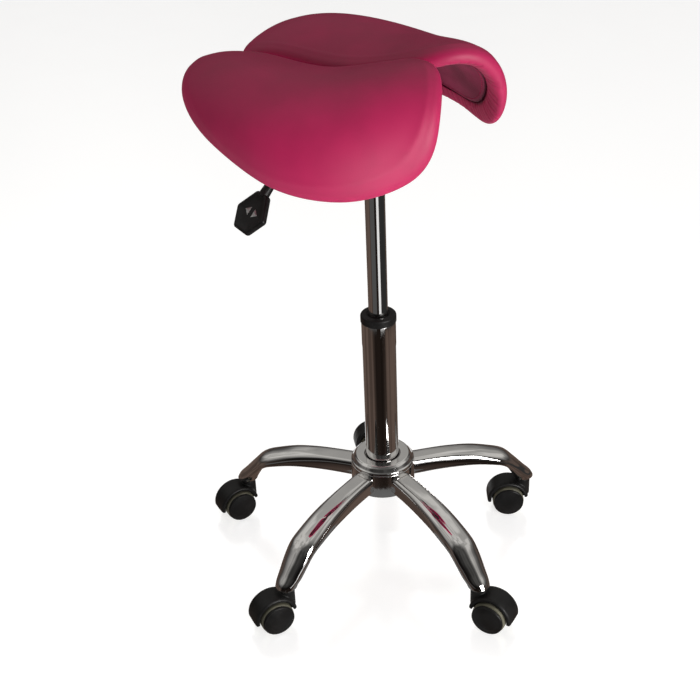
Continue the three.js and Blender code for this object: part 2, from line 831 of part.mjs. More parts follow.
// A point of the saddle's middle sheet, on the +X side, from its distances along the skin.
function sheetPoint(forward, outward) {
  const ahead = forward / saddle.lengthUnit;
  const out = outward / saddle.reachUnit;
  const bend = saddle.bend.reduce((sum, value, power) => sum + value * ahead ** power, 0);
  const curl = saddle.curl.reduce((sum, value, power) => sum + value * ahead ** power, 0);
  const climb = saddle.along.reduce((sum, value, power) => sum + value * ahead ** (power + 1), 0);
  const height = saddle.height + saddle.lengthUnit * climb;
  const steps = 12;
  let across = 0;
  let fall = 0;
  for (let i = 0; i < steps; i++) {
    const at = (out * (i + 0.5)) / steps;
    const angle = saddle.startAngle + bend * at + curl * at ** 2;
    across += (Math.cos(angle) * outward) / steps;
    fall += (Math.sin(angle) * outward) / steps;
  }
  return new THREE.Vector3(gapToSheet + across, -forward, height - fall);
}

// The same point moved off the sheet along its normal, up for a positive lift.
function liftedPoint(forward, outward, lift) {
  const small = 0.5;
  const alongOut = sheetPoint(forward, outward + small).sub(sheetPoint(forward, outward - small));
  const alongBack = sheetPoint(forward - small, outward).sub(sheetPoint(forward + small, outward));
  const normal = alongOut.cross(alongBack).normalize();
  return sheetPoint(forward, outward).addScaledVector(normal, lift);
}

// The pad's edge as [forward, outward] points along the skin, drawn in by an inset.
function padEdge(inset) {
  const curve = new THREE.CatmullRomCurve3(
    padOutline.map(([forward, outward]) => new THREE.Vector3(
      forward * padLength,
      outward * padReach - padThickness / 2,
      0,
    )),
    true,
  );
  const points = curve.getSpacedPoints(padFacets).slice(0, padFacets);
  return points.map((point, i) => {
    const before = points[(i + padFacets - 1) % padFacets];
    const after = points[(i + 1) % padFacets];
    const tangent = after.clone().sub(before).normalize();
    return [point.x - tangent.y * inset, point.y + tangent.x * inset];
  });
}

const fieldShares = [0.3, 0.65, 1]; // rings across a face, from its middle out to its edge
const edgeInward = [...fieldShares].reverse();

// Rings from the pad's edge at one inset towards its middle, all lifted by the same amount.
function fieldRings(inset, lift, shares) {
  const forwardMiddle = padMiddle[0] * padLength;
  const outwardMiddle = padMiddle[1] * padReach - padThickness / 2;
  const edge = padEdge(inset);
  return shares.map((share) => edge.map(([forward, outward]) => liftedPoint(
    forwardMiddle + (forward - forwardMiddle) * share,
    outwardMiddle + (outward - outwardMiddle) * share,
    lift,
  )));
}

function fieldMiddle(lift) {
  return liftedPoint(padMiddle[0] * padLength, padMiddle[1] * padReach - padThickness / 2, lift);
}

function padGeometry() {
  const half = padThickness / 2;
  const roundShare = 0.3;
  const round = half * roundShare;
  const roundLift = half * Math.sqrt(1 - (1 - roundShare) ** 2);
  const underside = recess - half;
  const rings = [
    ...fieldRings(half, half, fieldShares),
    ...fieldRings(round, roundLift, [1]),
    ...fieldRings(0, 0, [1]),
    ...fieldRings(round, -roundLift, [1]),
    ...fieldRings(half, -half, [1]),
    ...fieldRings(rimWidth, -half, [1]),
    ...fieldRings(rimWidth + rimSlope, underside, edgeInward),
  ];
  return skin(rings, fieldMiddle(half), fieldMiddle(underside));
}

// A board that fills the pad's recess, between two lifts. Two boards that lie face to face share
// their facets only if the skins run the opposite way over the faces that meet.
function boardGeometry(firstLift, secondLift) {
  const inset = rimWidth + rimSlope + 1;
  const rings = [
    ...fieldRings(inset, firstLift, fieldShares),
    ...fieldRings(inset, secondLift, edgeInward),
  ];
  return skin(rings, fieldMiddle(firstLift), fieldMiddle(secondLift));
}

function addSeatHalves() {
  const shellTop = recess - padThickness / 2 - bedding;
  const shellBottom = shellTop - shellThickness;
  const liningTop = shellBottom - touch;
  const holes = screwPlaces.map((along) => screwHole(1, along));
  const shellBody = cut(boardGeometry(shellBottom, shellTop), ...holes);
  const liningBody = cut(boardGeometry(liningTop, liningTop - liningThickness), ...holes);
  for (const [side, half] of [[1, 'left'], [-1, 'right']]) {
    addPiece(`seat_pad_${half}`, padGeometry().scale(side, 1, 1), vinyl);
    addPiece(`seat_shell_${half}`, shellBody.clone().scale(side, 1, 1), shellPlastic);
    addPiece(`seat_lining_${half}`, liningBody.clone().scale(side, 1, 1), liningCloth);
  }
}

// ---------------------------------------------------------------- the whole stool

addBase();
addCasters();
addColumn();
addHousing();
addTiltAxle();
addTiltSpring();
addSeatPlate();
addSeatScrews();
addLever('height', heightLeverAngle, heightLeverStart);
addLever('tilt', tiltLeverAngle, tiltLeverStart);
addSeatHalves();

// The origin is on the floor, under the middle of the stool's outline.
const outline = new THREE.Box3().setFromObject(stool);
stool.position.set(
  -Math.round((outline.min.x + outline.max.x) / 2),
  -Math.round((outline.min.y + outline.max.y) / 2),
  0,
);

export default stool;
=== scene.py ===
import math

import bpy
import numpy as np
from mathutils import Matrix, Vector


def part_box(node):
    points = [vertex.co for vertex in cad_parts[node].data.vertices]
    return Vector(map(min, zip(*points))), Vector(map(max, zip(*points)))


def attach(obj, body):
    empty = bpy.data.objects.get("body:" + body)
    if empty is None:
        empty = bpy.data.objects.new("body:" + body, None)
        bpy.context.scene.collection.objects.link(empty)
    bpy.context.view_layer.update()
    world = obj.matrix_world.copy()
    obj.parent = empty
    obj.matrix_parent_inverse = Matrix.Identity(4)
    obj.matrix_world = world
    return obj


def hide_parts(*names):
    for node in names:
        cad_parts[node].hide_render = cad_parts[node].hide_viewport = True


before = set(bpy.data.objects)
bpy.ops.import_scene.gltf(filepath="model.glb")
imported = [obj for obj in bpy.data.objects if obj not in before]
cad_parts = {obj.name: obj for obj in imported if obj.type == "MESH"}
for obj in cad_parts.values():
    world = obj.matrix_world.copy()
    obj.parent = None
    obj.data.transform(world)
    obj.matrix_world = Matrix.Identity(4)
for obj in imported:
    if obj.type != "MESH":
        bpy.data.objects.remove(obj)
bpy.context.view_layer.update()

bl_info = {
    "name": "Saddle stool dresser",
    "version": (1, 0, 0),
    "blender": (4, 5, 0),
    "location": "3D View > Sidebar > Stool",
    "description": "Upholsters and finishes a split saddle stool around its packed frame",
    "category": "Object",
}

SCENE = bpy.context.scene
MM = 0.001


def centre(node):
    low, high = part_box(node)
    return (low + high) / 2


COLUMN = Vector((centre("hub_sleeve").x, centre("hub_sleeve").y, 0))

# -------- driving sizes, millimetres

PAD_LENGTH = 370
PAD_REACH = 253
GAP_TO_SHEET = 22
SADDLE_HEIGHT = 754
LENGTH_UNIT = PAD_LENGTH / 3.7
REACH_UNIT = PAD_REACH / 2.53
# the saddle's rise along its length, and how its slope across it starts, bends and curls
CLIMB = (0.225, 0.117, -0.092, -0.053)
START_ANGLE = -0.289
BEND = (0.263, 0.896, 0.369)
CURL = (0.254, -0.438, -0.099)
# a seat half's edge, as shares of its length and reach
PAD_OUTLINE = (
    (-0.108, 0), (0.2, 0), (0.305, 0.09), (0.373, 0.237), (0.386, 0.435), (0.316, 0.704),
    (0.162, 0.921), (-0.054, 1), (-0.308, 0.877), (-0.476, 0.652), (-0.584, 0.348),
    (-0.611, 0.119), (-0.554, 0.008), (-0.405, 0),
)
PAD_MIDDLE = (-0.108, 0.356)
HALF_PAD = 15
RECESS_FLOOR = -3
LINING_FACE = -9.2
LINING_DOME = 3.2
SEAM_INSET = 21
SEAM_WIDTH = 1.6
SEAM_DEPTH = 0.8
# the gathers deepen over this span round the roll, in degrees below its outermost line
ROLL_SPAN = (-20, 75)
# the pad's underside is this much flatter than its top
UNDER = 0.67
# the insets past this belong to a pad's faces, where there are no gathers
FACE_INSET = 60
BOARD = (-7.2, -3.9)

LEG_REACH = 234.8
LEG_ROOT = 48.8
TIP_HEIGHT = 64
ROOT_HEIGHT = 122
# share of the reach, share of the drop, lean in degrees, crown, belly, half width, squareness
LEG_STATIONS = (
    (-0.04, 0, 0, 24, 1, 17, 5),
    (0.168, 0, 0, 23, 1, 17.5, 4.5),
    (0.345, 0.017, 2, 22, 1.5, 19, 3.5),
    (0.517, 0.07, 6, 20.5, 1.5, 20.5, 2.8),
    (0.662, 0.172, 15, 18.5, 1, 21.5, 2.4),
    (0.775, 0.293, 30, 17, 2, 21.8, 2.2),
    (0.856, 0.5, 52, 14.5, 5, 21, 2.1),
    (0.931, 0.76, 70, 15, 9, 19, 2),
    (0.98, 0.9, 82, 15.5, 14, 17, 2),
    (1, 1, 90, 16, 16, 16, 2),
)
NUMBERS = range(1, 6)
HALVES = (("left", 1), ("right", -1))

HUB = 48.5
TUBE = 25.0
BORE = 23.1
CYLINDER = 14
ROD = 5.0

WHEEL = 25.0
TRAIL = 24.0
WEB = 13.4
WHEEL_IN = WEB / 2 + 0.3
WHEEL_OUT = WEB / 2 + 18.3
HOOD_IN = 26.8
HOOD_OUT = 33.0
HOOD_HALF = 17.0
HOOD_SWING = (-7, 171)
HOOD_VOXEL = 0.9
BOSS = 11.5
FLANGE = TIP_HEIGHT - 1.5
FLANGE_THICKNESS = 1.2

# a lever runs level to its knee and then drops by this many degrees to its tip
LEVER = {"radius": 3.5, "height": 692.0, "knee": 107.8, "tip": 160.0, "drop": 47.6, "bend": 22}
PADDLE = {"length": 56.0, "width": 70.0, "thickness": 8.0, "centre": 183.6}
SPRING = {"radius": 7.5, "wire": 1.3, "length": 38}

# the seat plate's wings lean by these, in degrees, along and across the stool
WING_PITCH = 8.53
WING_ROLL = 13.3


def size_setting(name, about, millimetres):
    return bpy.props.FloatProperty(
        name=name, description=about, default=millimetres * MM, unit="LENGTH")


def colour_setting(name, about, *default):
    return bpy.props.FloatVectorProperty(
        name=name, description=about, subtype="COLOR", size=3, default=default, min=0, max=1)


class StoolSizes(bpy.types.PropertyGroup):
    """Sizes that a maker would change on the dressed stool."""
    swell: size_setting("Swell", "Most that the padding may bulge under its own stuffing", 2.2)
    pucker_depth: size_setting("Pucker depth", "Depth of the gathers inside the rolled edge", 1.5)
    pucker_spacing: size_setting("Pucker spacing", "Usual distance between two gathers", 10)
    stitch_length: size_setting("Stitch length", "Length of a stitch of the lining's seam", 3.6)
    stitch_spacing: size_setting("Stitch spacing", "Distance from one stitch to the next", 5)
    thread: size_setting("Thread", "Radius of the sewing thread", 0.5)
    lip: size_setting("Leg lip", "How far the lip along a leg's lower edge stands out", 0.9)
    coils: bpy.props.IntProperty(
        name="Coils", description="Turns of the tilt spring", default=5, min=2)


class StoolColours(bpy.types.PropertyGroup):
    """Colours of the stool's finishes."""
    vinyl: colour_setting("Vinyl", "The seat's upholstery", 0.47, 0.012, 0.092)
    lining: colour_setting("Lining", "The panel under a seat half", 0.24, 0.014, 0.06)
    chrome: colour_setting("Chrome", "Legs, hub and outer tube", 0.76, 0.75, 0.74)
    steel: colour_setting("Steel", "Bare rods, pins and screws", 0.55, 0.55, 0.55)
    nylon: colour_setting("Nylon", "Hoods, collar and paddles", 0.009, 0.009, 0.009)
    paint: colour_setting("Paint", "Mechanism and levers", 0.016, 0.016, 0.017)
    tread: colour_setting("Tread", "The wheels' soft rings", 0.13, 0.125, 0.09)
    rubber: colour_setting("Rubber", "The buffer inside the tube", 0.02, 0.02, 0.02)
    mark: colour_setting("Mark", "The arrows on the paddles", 0.45, 0.46, 0.45)
    floor: colour_setting("Floor", "The plain floor", 0.9, 0.9, 0.9)


# -------- shader maths


def add_node(tree, kind, settings=None, inputs=None, output=0):
    """Adds one node: its settings first, then the values or links of its sockets. A ramp's stops are
    a setting too, as pairs of place and colour."""
    made = tree.nodes.new(kind)
    for name, value in (settings or {}).items():
        if name == "stops":
            set_stops(made.color_ramp.elements, value)
        else:
            setattr(made, name, value)
    for key, value in (inputs or {}).items():
        if isinstance(value, Field):
            tree.links.new(value.socket, made.inputs[key])
        else:
            made.inputs[key].default_value = value
    return Field(tree, made.outputs[output]) if made.outputs else None


def set_stops(elements, stops):
    while len(elements) < len(stops):
        elements.new(0.5)
    for element, (place, shade) in zip(elements, stops):
        element.position = place
        element.color = (*shade, 1)


class NodeMaker:
    """Anything that adds nodes to its own tree."""

    def node(self, kind, settings=None, inputs=None, output=0):
        return add_node(self.tree, kind, settings, inputs, output)


class Field(NodeMaker):
    """A value or colour inside a shader. Arithmetic on it adds nodes to its tree."""

    def __init__(self, tree, socket):
        self.tree = tree
        self.socket = socket

    def math(self, operation, *values):
        return self.node("ShaderNodeMath", {"operation": operation}, dict(enumerate(values)))

    def __add__(self, other):
        return self.math("ADD", self, other)

    __radd__ = __add__

    def __rsub__(self, other):
        return self.math("SUBTRACT", other, self)

    def __mul__(self, other):
        return self.math("MULTIPLY", self, other)

    __rmul__ = __mul__

    def ramp(self, low, high):
        """0 at low, 1 at high, eased between them."""
        return self.node("ShaderNodeMapRange", {"interpolation_type": "SMOOTHSTEP"},
                         {"Value": self, "From Min": low, "From Max": high})


class Finish(NodeMaker):
    """One procedural material, built on a Principled shader."""

    def __init__(self, name, base, roughness, **constants):
        self.material = bpy.data.materials.new(name)
        self.material.use_nodes = True
        self.tree = self.material.node_tree
        shader = self.tree.nodes["Principled BSDF"]
        self.sockets = {socket.name.lower().replace(" ", "_"): socket for socket in shader.inputs}
        self.base = base
        self.put(base_color=(*base, 1), roughness=roughness, **constants)
        self.place = self.node("ShaderNodeTexCoord", output="Object")

    def put(self, **values):
        """Sets or links the shader's sockets, named as on the shader but in small letters with _."""
        for name, value in values.items():
            if isinstance(value, Field):
                self.tree.links.new(value.socket, self.sockets[name])
            else:
                self.sockets[name].default_value = value

    def noise(self, scale, detail=2.0, stretch=None):
        place = self.place
        if stretch:
            place = self.node("ShaderNodeMapping", inputs={"Vector": place, "Scale": stretch})
        return self.node(
            "ShaderNodeTexNoise", inputs={"Vector": place, "Scale": scale, "Detail": detail})

    def cells(self, scale, feature="SMOOTH_F1", distance="EUCLIDEAN", **inputs):
        sockets = {"Vector": self.place, "Scale": scale, **inputs}
        return self.node("ShaderNodeTexVoronoi", {"feature": feature, "distance": distance},
                         sockets, output="Distance")

    def shade(self, share):
        return tuple(value * share for value in self.base) + (1,)

    def tint(self, factor, low, high):
        """A colour that goes from low to high with the factor. A number is a share of the base."""
        low, high = (self.shade(one) if isinstance(one, (int, float)) else one for one in (low, high))
        return self.node("ShaderNodeMix", {"data_type": "RGBA"}, {"Factor": factor, 6: low, 7: high},
                         output=2)

    def crease(self):
        # reads the painted shade that the pads and linings note on their points
        return self.node("ShaderNodeAttribute", {"attribute_name": "crease"}, output="Fac")

    def bump(self, height, strength, distance):
        self.put(normal=self.node("ShaderNodeBump", inputs={
            "Height": height, "Strength": strength, "Distance": distance}))
        return self.material


def make_vinyl(name, base):
    """Grained vinyl, with painted shade where it is creased, at its seam and where it tucks under."""
    finish = Finish(name, base, 0.42, specular_ior_level=0.45)
    grain = finish.cells(900.0, Smoothness=0.6)
    drift = finish.noise(14.0, 3.0)
    worn = finish.tint(drift.ramp(0.3, 0.7), 0.9, 1.06)
    # painted shade: the base colour falls to about a third in the creases, seam and tuck noted on the
    # mesh
    finish.put(base_color=finish.tint(finish.crease(), worn, 0.32),
               roughness=0.42 + 0.08 * drift + 0.12 * grain)
    return finish.bump(grain * 0.8 + finish.noise(2200.0) * 0.25, 0.16, 0.0005)


def make_lining(name, base):
    """Woven lining cloth, with painted shade in its folds and along its turned-up rim."""
    finish = Finish(name, base, 0.75, specular_ior_level=0.3)
    weave = finish.cells(1100.0, "F1", "CHEBYCHEV", Randomness=0.35)
    drift = finish.noise(22.0, 3.0)
    cloth = finish.tint(drift.ramp(0.3, 0.7), 0.82, 1.12)
    # painted shade: the cloth falls to a quarter of its colour in its folds and at its rim
    finish.put(base_color=finish.tint(finish.crease(), cloth, 0.25), roughness=0.68 + 0.12 * drift)
    return finish.bump(weave, 0.35, 0.0006)


def make_chrome(name, base, stretch=(1, 1, 0.15)):
    """Polished chrome with a thin haze and buffing marks that the stretch draws out."""
    finish = Finish(name, base, 0.05, metallic=1.0)
    haze = finish.noise(30.0, 4.0)
    buffing = finish.noise(420.0, 2.0, stretch)
    finish.put(base_color=finish.tint(haze.ramp(0.35, 0.75), 1.0, 0.93),
               roughness=0.03 + 0.05 * haze.ramp(0.4, 0.8) + 0.03 * buffing)
    return finish.bump(finish.noise(55.0, 1.0), 0.05, 0.0008)


def make_steel(name, base):
    """Bare steel with the marks of turning."""
    finish = Finish(name, base, 0.3, metallic=1.0)
    turning = finish.noise(900.0, 2.0, (1, 1, 6))
    finish.put(base_color=finish.tint(finish.noise(60.0), 0.85, 1.1), roughness=0.22 + 0.2 * turning)
    return finish.bump(turning, 0.12, 0.0003)


def make_moulded(name, base, roughness, grain=1500.0, strength=0.18, share=1):
    """Moulded plastic or rubber: a fine spark-eroded grain over slow changes of gloss."""
    finish = Finish(name, tuple(share * value for value in base), roughness, specular_ior_level=0.3)
    drift = finish.noise(45.0, 3.0)
    finish.put(base_color=finish.tint(drift.ramp(0.35, 0.7), 0.85, 1.35),
               roughness=(roughness - 0.06) + 0.16 * drift)
    return finish.bump(finish.noise(grain), strength, 0.0004)


def make_paint(name, base):
    """Powder coat with its orange peel."""
    finish = Finish(name, base, 0.45, coat_weight=0.15, coat_roughness=0.3)
    drift = finish.noise(35.0, 3.0)
    finish.put(base_color=finish.tint(drift, 0.8, 1.3), roughness=0.4 + 0.14 * drift)
    return finish.bump(finish.cells(700.0), 0.25, 0.0004)


def make_floor(name, base):
    """A pale floor with its own glow and a soft mirror of what stands on it."""
    finish = Finish(name, base, 0.22, metallic=0.46, emission_color=(1, 1, 1, 1),
                    emission_strength=0.715)
    finish.put(roughness=0.18 + 0.06 * finish.noise(6.0))
    return finish.material


# each finish's slot in the record, its maker, its colour, and what else its maker takes: of a moulded
# one the roughness, grain, strength of the grain and share of the colour
FINISHES = {
    "vinyl": ("vinyl", make_vinyl, "vinyl"),
    "lining": ("lining_cloth", make_lining, "lining"),
    "thread": ("vinyl", make_moulded, "vinyl", 0.6, 3000.0, 0.4, 0.8),
    "chrome": ("chrome", make_chrome, "chrome"),
    "bright": ("chrome", make_chrome, "chrome", (1, 1, 0.02)),
    "steel": ("bare_steel", make_steel, "steel"),
    "nylon": ("black_nylon", make_moulded, "nylon", 0.4),
    "cap": ("black_nylon", make_moulded, "nylon", 0.3, 900.0, 0.1),
    "powder_coat": ("black_paint", make_paint, "paint"),
    "tread": ("wheel_tread", make_moulded, "tread", 0.5, 1100.0, 0.25),
    "shell": ("shell_plastic", make_moulded, "nylon", 0.55, 500.0, 0.3),
    "rubber": ("buffer_rubber", make_moulded, "rubber", 0.7),
    "mark": ("black_nylon", make_moulded, "mark", 0.5),
    "floor": (None, make_floor, "floor"),
}
MADE = {}


def finish_of(name):
    """The named material, made when it is first asked for."""
    if name not in MADE:
        _, maker, tone, *extras = FINISHES[name]
        MADE[name] = maker(name, tuple(getattr(SCENE.stool_colours, tone)), *extras)
    return MADE[name]


# -------- mesh helpers


def new_object(name, data):
    made = bpy.data.objects.new(name, data)
    SCENE.collection.objects.link(made)
    return made


def new_mesh(name, points, faces, edges=()):
    mesh = bpy.data.meshes.new(name)
    mesh.from_pydata([tuple(p) for p in points], edges, [tuple(f) for f in faces])
    mesh.validate()
    return mesh


def outward(points, faces):
    """The same faces, turned over together if the shape is inside out."""
    volume = 0.0
    for face in faces:
        for k in range(1, len(face) - 1):
            volume += np.dot(points[face[0]], np.cross(points[face[k]], points[face[k + 1]]))
    return [tuple(reversed(face)) for face in faces] if volume < 0 else faces


def lofted(rings, closed=False):
    """Points and faces of a skin over rings of equally many points: capped, or closed on itself."""
    count = len(rings[0])
    points = np.concatenate([np.asarray(ring, float) for ring in rings])
    faces = []
    for k in range(len(rings) if closed else len(rings) - 1):
        low, high = k * count, ((k + 1) % len(rings)) * count
        for i in range(count):
            j = (i + 1) % count
            faces.append((low + i, low + j, high + j, high + i))
    if not closed:
        for start, turn in ((0, 1), ((len(rings) - 1) * count, -1)):
            hub = len(points)
            points = np.vstack([points, points[start:start + count].mean(0)])
            for i in range(count):
                faces.append((hub, *(start + (i + 1) % count, start + i)[::turn]))
    return points, outward(points, faces)


def rounded(before, corner, after, radius, steps):
    """Points of a small fillet at a corner, and how far it reaches."""
    ways = [(one - corner, np.linalg.norm(one - corner)) for one in (before, after)]
    reach = min(radius, *(0.45 * far for _, far in ways))
    start, end = (corner + way / far * reach for way, far in ways)
    arc = [(1 - t) ** 2 * start + 2 * t * (1 - t) * corner + t ** 2 * end
           for t in np.linspace(0, 1, steps + 1)]
    beside = [corner + way / far * min(1.8 * reach, 0.49 * far) for way, far in ways]
    return arc, beside


def eased(profile, radius):
    """A line of (r, z) points with its inner corners rounded by a small fillet. A point beside each
    end of a fillet keeps the flat next to it flat."""
    profile = np.array(profile, float)
    made = [profile[0]]
    for before, corner, after in zip(profile, profile[1:], profile[2:]):
        arc, (back, ahead) = rounded(before, corner, after, radius, 4)
        made += [back, *arc, ahead]
    return made + [profile[-1]]


def turned(profile, sides=96, soft=0.6, closed=False):
    """Points and faces of a body turned about Z. Its profile starts and ends on the axis, or is
    closed."""
    if closed:
        profile = [profile[-1], *profile, profile[0]]
    outline = eased(profile, soft)[1:-1] if closed else eased(profile, soft)
    turn = np.linspace(0, 2 * np.pi, sides, endpoint=False)
    rings = [np.column_stack([r * np.cos(turn), r * np.sin(turn), np.full(sides, z)])
             for r, z in outline if closed or abs(r) > 1e-6]
    points, faces = lofted(rings, closed)
    if not closed:
        points[-2:] = [(0, 0, outline[0][1]), (0, 0, outline[-1][1])]
    return points, faces


def moved(shape, matrix):
    points, faces = shape
    turn, shift = np.array(matrix.to_3x3(), float), np.array(matrix.translation)
    return np.asarray(points, float) @ turn.T + shift, faces


def together(*shapes):
    points, faces, start = [], [], 0
    for some, their in shapes:
        points.append(np.asarray(some, float))
        faces += [tuple(start + i for i in face) for face in their]
        start += len(some)
    return np.concatenate(points), faces


def turn_to(node, start=COLUMN):
    """The turn about Z that brings +X towards a node, as seen from the column or another start."""
    to = centre(node) - start
    return Matrix.Rotation(math.atan2(to.y, to.x), 4, "Z")


# from the column's own frame, in millimetres, to the stool's
AT_COLUMN = Matrix.Translation((COLUMN.x / MM, COLUMN.y / MM, 0))


def add_piece(name, shape, finish, body, *replaces):
    """Makes a smooth piece from points and faces, dresses it and lets it ride on its body."""
    points, faces = shape
    dress(new_object(name, new_mesh(name, points * MM, faces)), finish, body, *replaces)


def dress(piece, finish, body, *replaces):
    piece.data.materials.clear()
    piece.data.materials.append(finish_of(finish))
    piece.data.shade_smooth()
    if replaces:
        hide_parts(*replaces)
    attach(piece, body)
    return piece


def modify(piece, kind, **settings):
    modifier = piece.modifiers.new(kind.lower(), kind)
    for name, value in settings.items():
        setattr(modifier, name, value)
    return modifier


def evaluated_mesh(piece):
    """The piece's mesh with its modifiers applied, as a new plain mesh."""
    depsgraph = bpy.context.evaluated_depsgraph_get()
    return bpy.data.meshes.new_from_object(piece.evaluated_get(depsgraph))


def bake(piece):
    """Applies every modifier of a piece."""
    old, piece.data = piece.data, evaluated_mesh(piece)
    piece.modifiers.clear()
    bpy.data.meshes.remove(old)
    return piece


def read(items, name, width=1):
    """One number or vector of each item of a mesh, such as its vertices, as an array."""
    flat = np.empty(len(items) * width, np.float32)
    items.foreach_get(name, flat)
    return flat.reshape(-1, width).astype(float) if width > 1 else flat.astype(float)


def coordinates(mesh):
    return read(mesh.vertices, "co", 3)


def set_coordinates(mesh, points):
    mesh.vertices.foreach_set("co", np.asarray(points, np.float32).ravel())
    mesh.update()


def attribute(mesh, name):
    return read(mesh.attributes[name].data, "value")


PLACE = ("forward", "outward", "inset", "lift")


def add_attribute(mesh, name, values):
    made = mesh.attributes.new(name, "FLOAT", "POINT")
    made.data.foreach_set("value", np.asarray(values, np.float32))


def ends(node):
    """A node's lowest and highest point, in millimetres."""
    low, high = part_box(node)
    return low.z / MM, high.z / MM


# -------- geometry node trees


class Tree(NodeMaker):
    """A geometry node tree with named inputs, which ends in realised instances and a material."""

    def __init__(self, name, **values):
        self.tree = bpy.data.node_groups.new(name, "GeometryNodeTree")
        face = self.tree.interface
        for way in ("INPUT", "OUTPUT"):
            face.new_socket("Geometry", in_out=way, socket_type="NodeSocketGeometry")
        self.settings = {}
        for label, value in values.items():
            kind = "NodeSocketFloat" if isinstance(value, float) else "NodeSocketMaterial"
            socket = face.new_socket(label, in_out="INPUT", socket_type=kind)
            self.settings[socket.identifier] = value
        self.entry = self.node("NodeGroupInput").socket.node

    def given(self, label):
        return Field(self.tree, self.entry.outputs[label])

    def line(self):
        return self.node("GeometryNodeMeshToCurve", inputs={0: self.given("Geometry")})

    def sweep(self, curve, radius, sides):
        """Ends the tree in a round wire along a curve."""
        section = self.node("GeometryNodeCurvePrimitiveCircle", inputs={
            "Resolution": sides, "Radius": self.given(radius)})
        return self.end(self.node("GeometryNodeCurveToMesh", inputs={
            "Curve": curve, "Profile Curve": section, "Fill Caps": True}))

    def end(self, geometry):
        solid = self.node("GeometryNodeRealizeInstances", inputs={0: geometry})
        smooth = self.node("GeometryNodeSetShadeSmooth", inputs={0: solid})
        painted = self.node("GeometryNodeSetMaterial", inputs={
            0: smooth, "Material": self.given("Material")})
        self.node("NodeGroupOutput", inputs={0: painted})
        return self

    def run(self, name, points, closed=False):
        """Runs the tree on a line through the points and returns an object with a plain mesh."""
        count = len(points)
        edges = [(i, (i + 1) % count) for i in range(count if closed else count - 1)]
        piece = new_object(name, new_mesh(name, points, [], edges))
        modifier = modify(piece, "NODES", node_group=self.tree)
        for identifier, value in self.settings.items():
            modifier[identifier] = value
        return bake(piece)


def stitch_tree():
    """Short threads laid end to end along a line."""
    sizes = SCENE.stool_sizes
    tree = Tree("stitches", Length=sizes.stitch_length, Spacing=sizes.stitch_spacing,
                Thread=sizes.thread, Material=finish_of("thread"))
    places = tree.node("GeometryNodeCurveToPoints", {"mode": "LENGTH"}, {
        "Curve": tree.line(), "Length": tree.given("Spacing")})
    turn = Field(tree.tree, places.socket.node.outputs["Rotation"])
    bead = tree.node("GeometryNodeMeshUVSphere", inputs={"Segments": 8, "Rings": 6, "Radius": 1.0})
    thread = tree.given("Thread")
    size = tree.node("ShaderNodeCombineXYZ", inputs={
        "X": thread, "Y": thread, "Z": tree.given("Length") * 0.5})
    return tree.end(tree.node("GeometryNodeInstanceOnPoints", inputs={
        "Points": places, "Instance": bead, "Rotation": turn, "Scale": size}))


def rod_tree():
    """A round rod along a line of straight stretches, with its corners bent to a radius."""
    tree = Tree("lever_rod", Radius=LEVER["radius"] * MM, Bend=LEVER["bend"] * MM,
                Material=finish_of("powder_coat"))
    bent = tree.node("GeometryNodeFilletCurve", {"mode": "POLY"}, {
        "Curve": tree.line(), "Count": 12, "Radius": tree.given("Bend")})
    return tree.sweep(bent, "Radius", 24)


def spring_tree():
    """A coil spring along Z."""
    tree = Tree("coil_spring", Radius=SPRING["radius"] * MM, Wire=SPRING["wire"] * MM,
                Length=SPRING["length"] * MM, Turns=float(SCENE.stool_sizes.coils),
                Material=finish_of("steel"))
    coil = tree.node("GeometryNodeCurveSpiral", inputs={
        "Resolution": 32, "Rotations": tree.given("Turns"), "Start Radius": tree.given("Radius"),
        "End Radius": tree.given("Radius"), "Height": tree.given("Length")})
    return tree.sweep(coil, "Wire", 12)


# -------- the saddle's surface


def polynomial(shares, value, first=0):
    return sum(share * value ** (power + first) for power, share in enumerate(shares))


def sheet(forward, out):
    """Points of the saddle's middle sheet on the +X side, in the column's frame, in millimetres."""
    ahead, away = forward / LENGTH_UNIT, out / REACH_UNIT
    bend, curl = polynomial(BEND, ahead), polynomial(CURL, ahead)
    height = SADDLE_HEIGHT + LENGTH_UNIT * polynomial(CLIMB, ahead, 1)
    steps = 24
    across, fall = np.zeros_like(out), np.zeros_like(out)
    for i in range(steps):
        at = away * (i + 0.5) / steps
        angle = START_ANGLE + bend * at + curl * at ** 2
        across += np.cos(angle) * out / steps
        fall += np.sin(angle) * out / steps
    return np.column_stack([GAP_TO_SHEET + across, -forward, height - fall])


def lifted(flat, lift):
    """Points of the sheet, raised square to it."""
    forward, out = flat.T
    small = 0.5
    along_out = sheet(forward, out + small) - sheet(forward, out - small)
    along_back = sheet(forward - small, out) - sheet(forward + small, out)
    normal = np.cross(along_out, along_back)
    normal /= np.linalg.norm(normal, axis=1)[:, None]
    return sheet(forward, out) + normal * np.asarray(lift).reshape(-1, 1)


def evenly(line, samples):
    """A closed line of points, sampled at equal steps of its length, and that length."""
    line = np.vstack([line, line[:1]])
    steps = np.linalg.norm(np.diff(line, axis=0), axis=1)
    length = np.concatenate([[0], np.cumsum(steps)])
    at = np.linspace(0, length[-1], samples, endpoint=False)
    return np.column_stack([np.interp(at, length, line[:, k]) for k in (0, 1)]), length[-1]


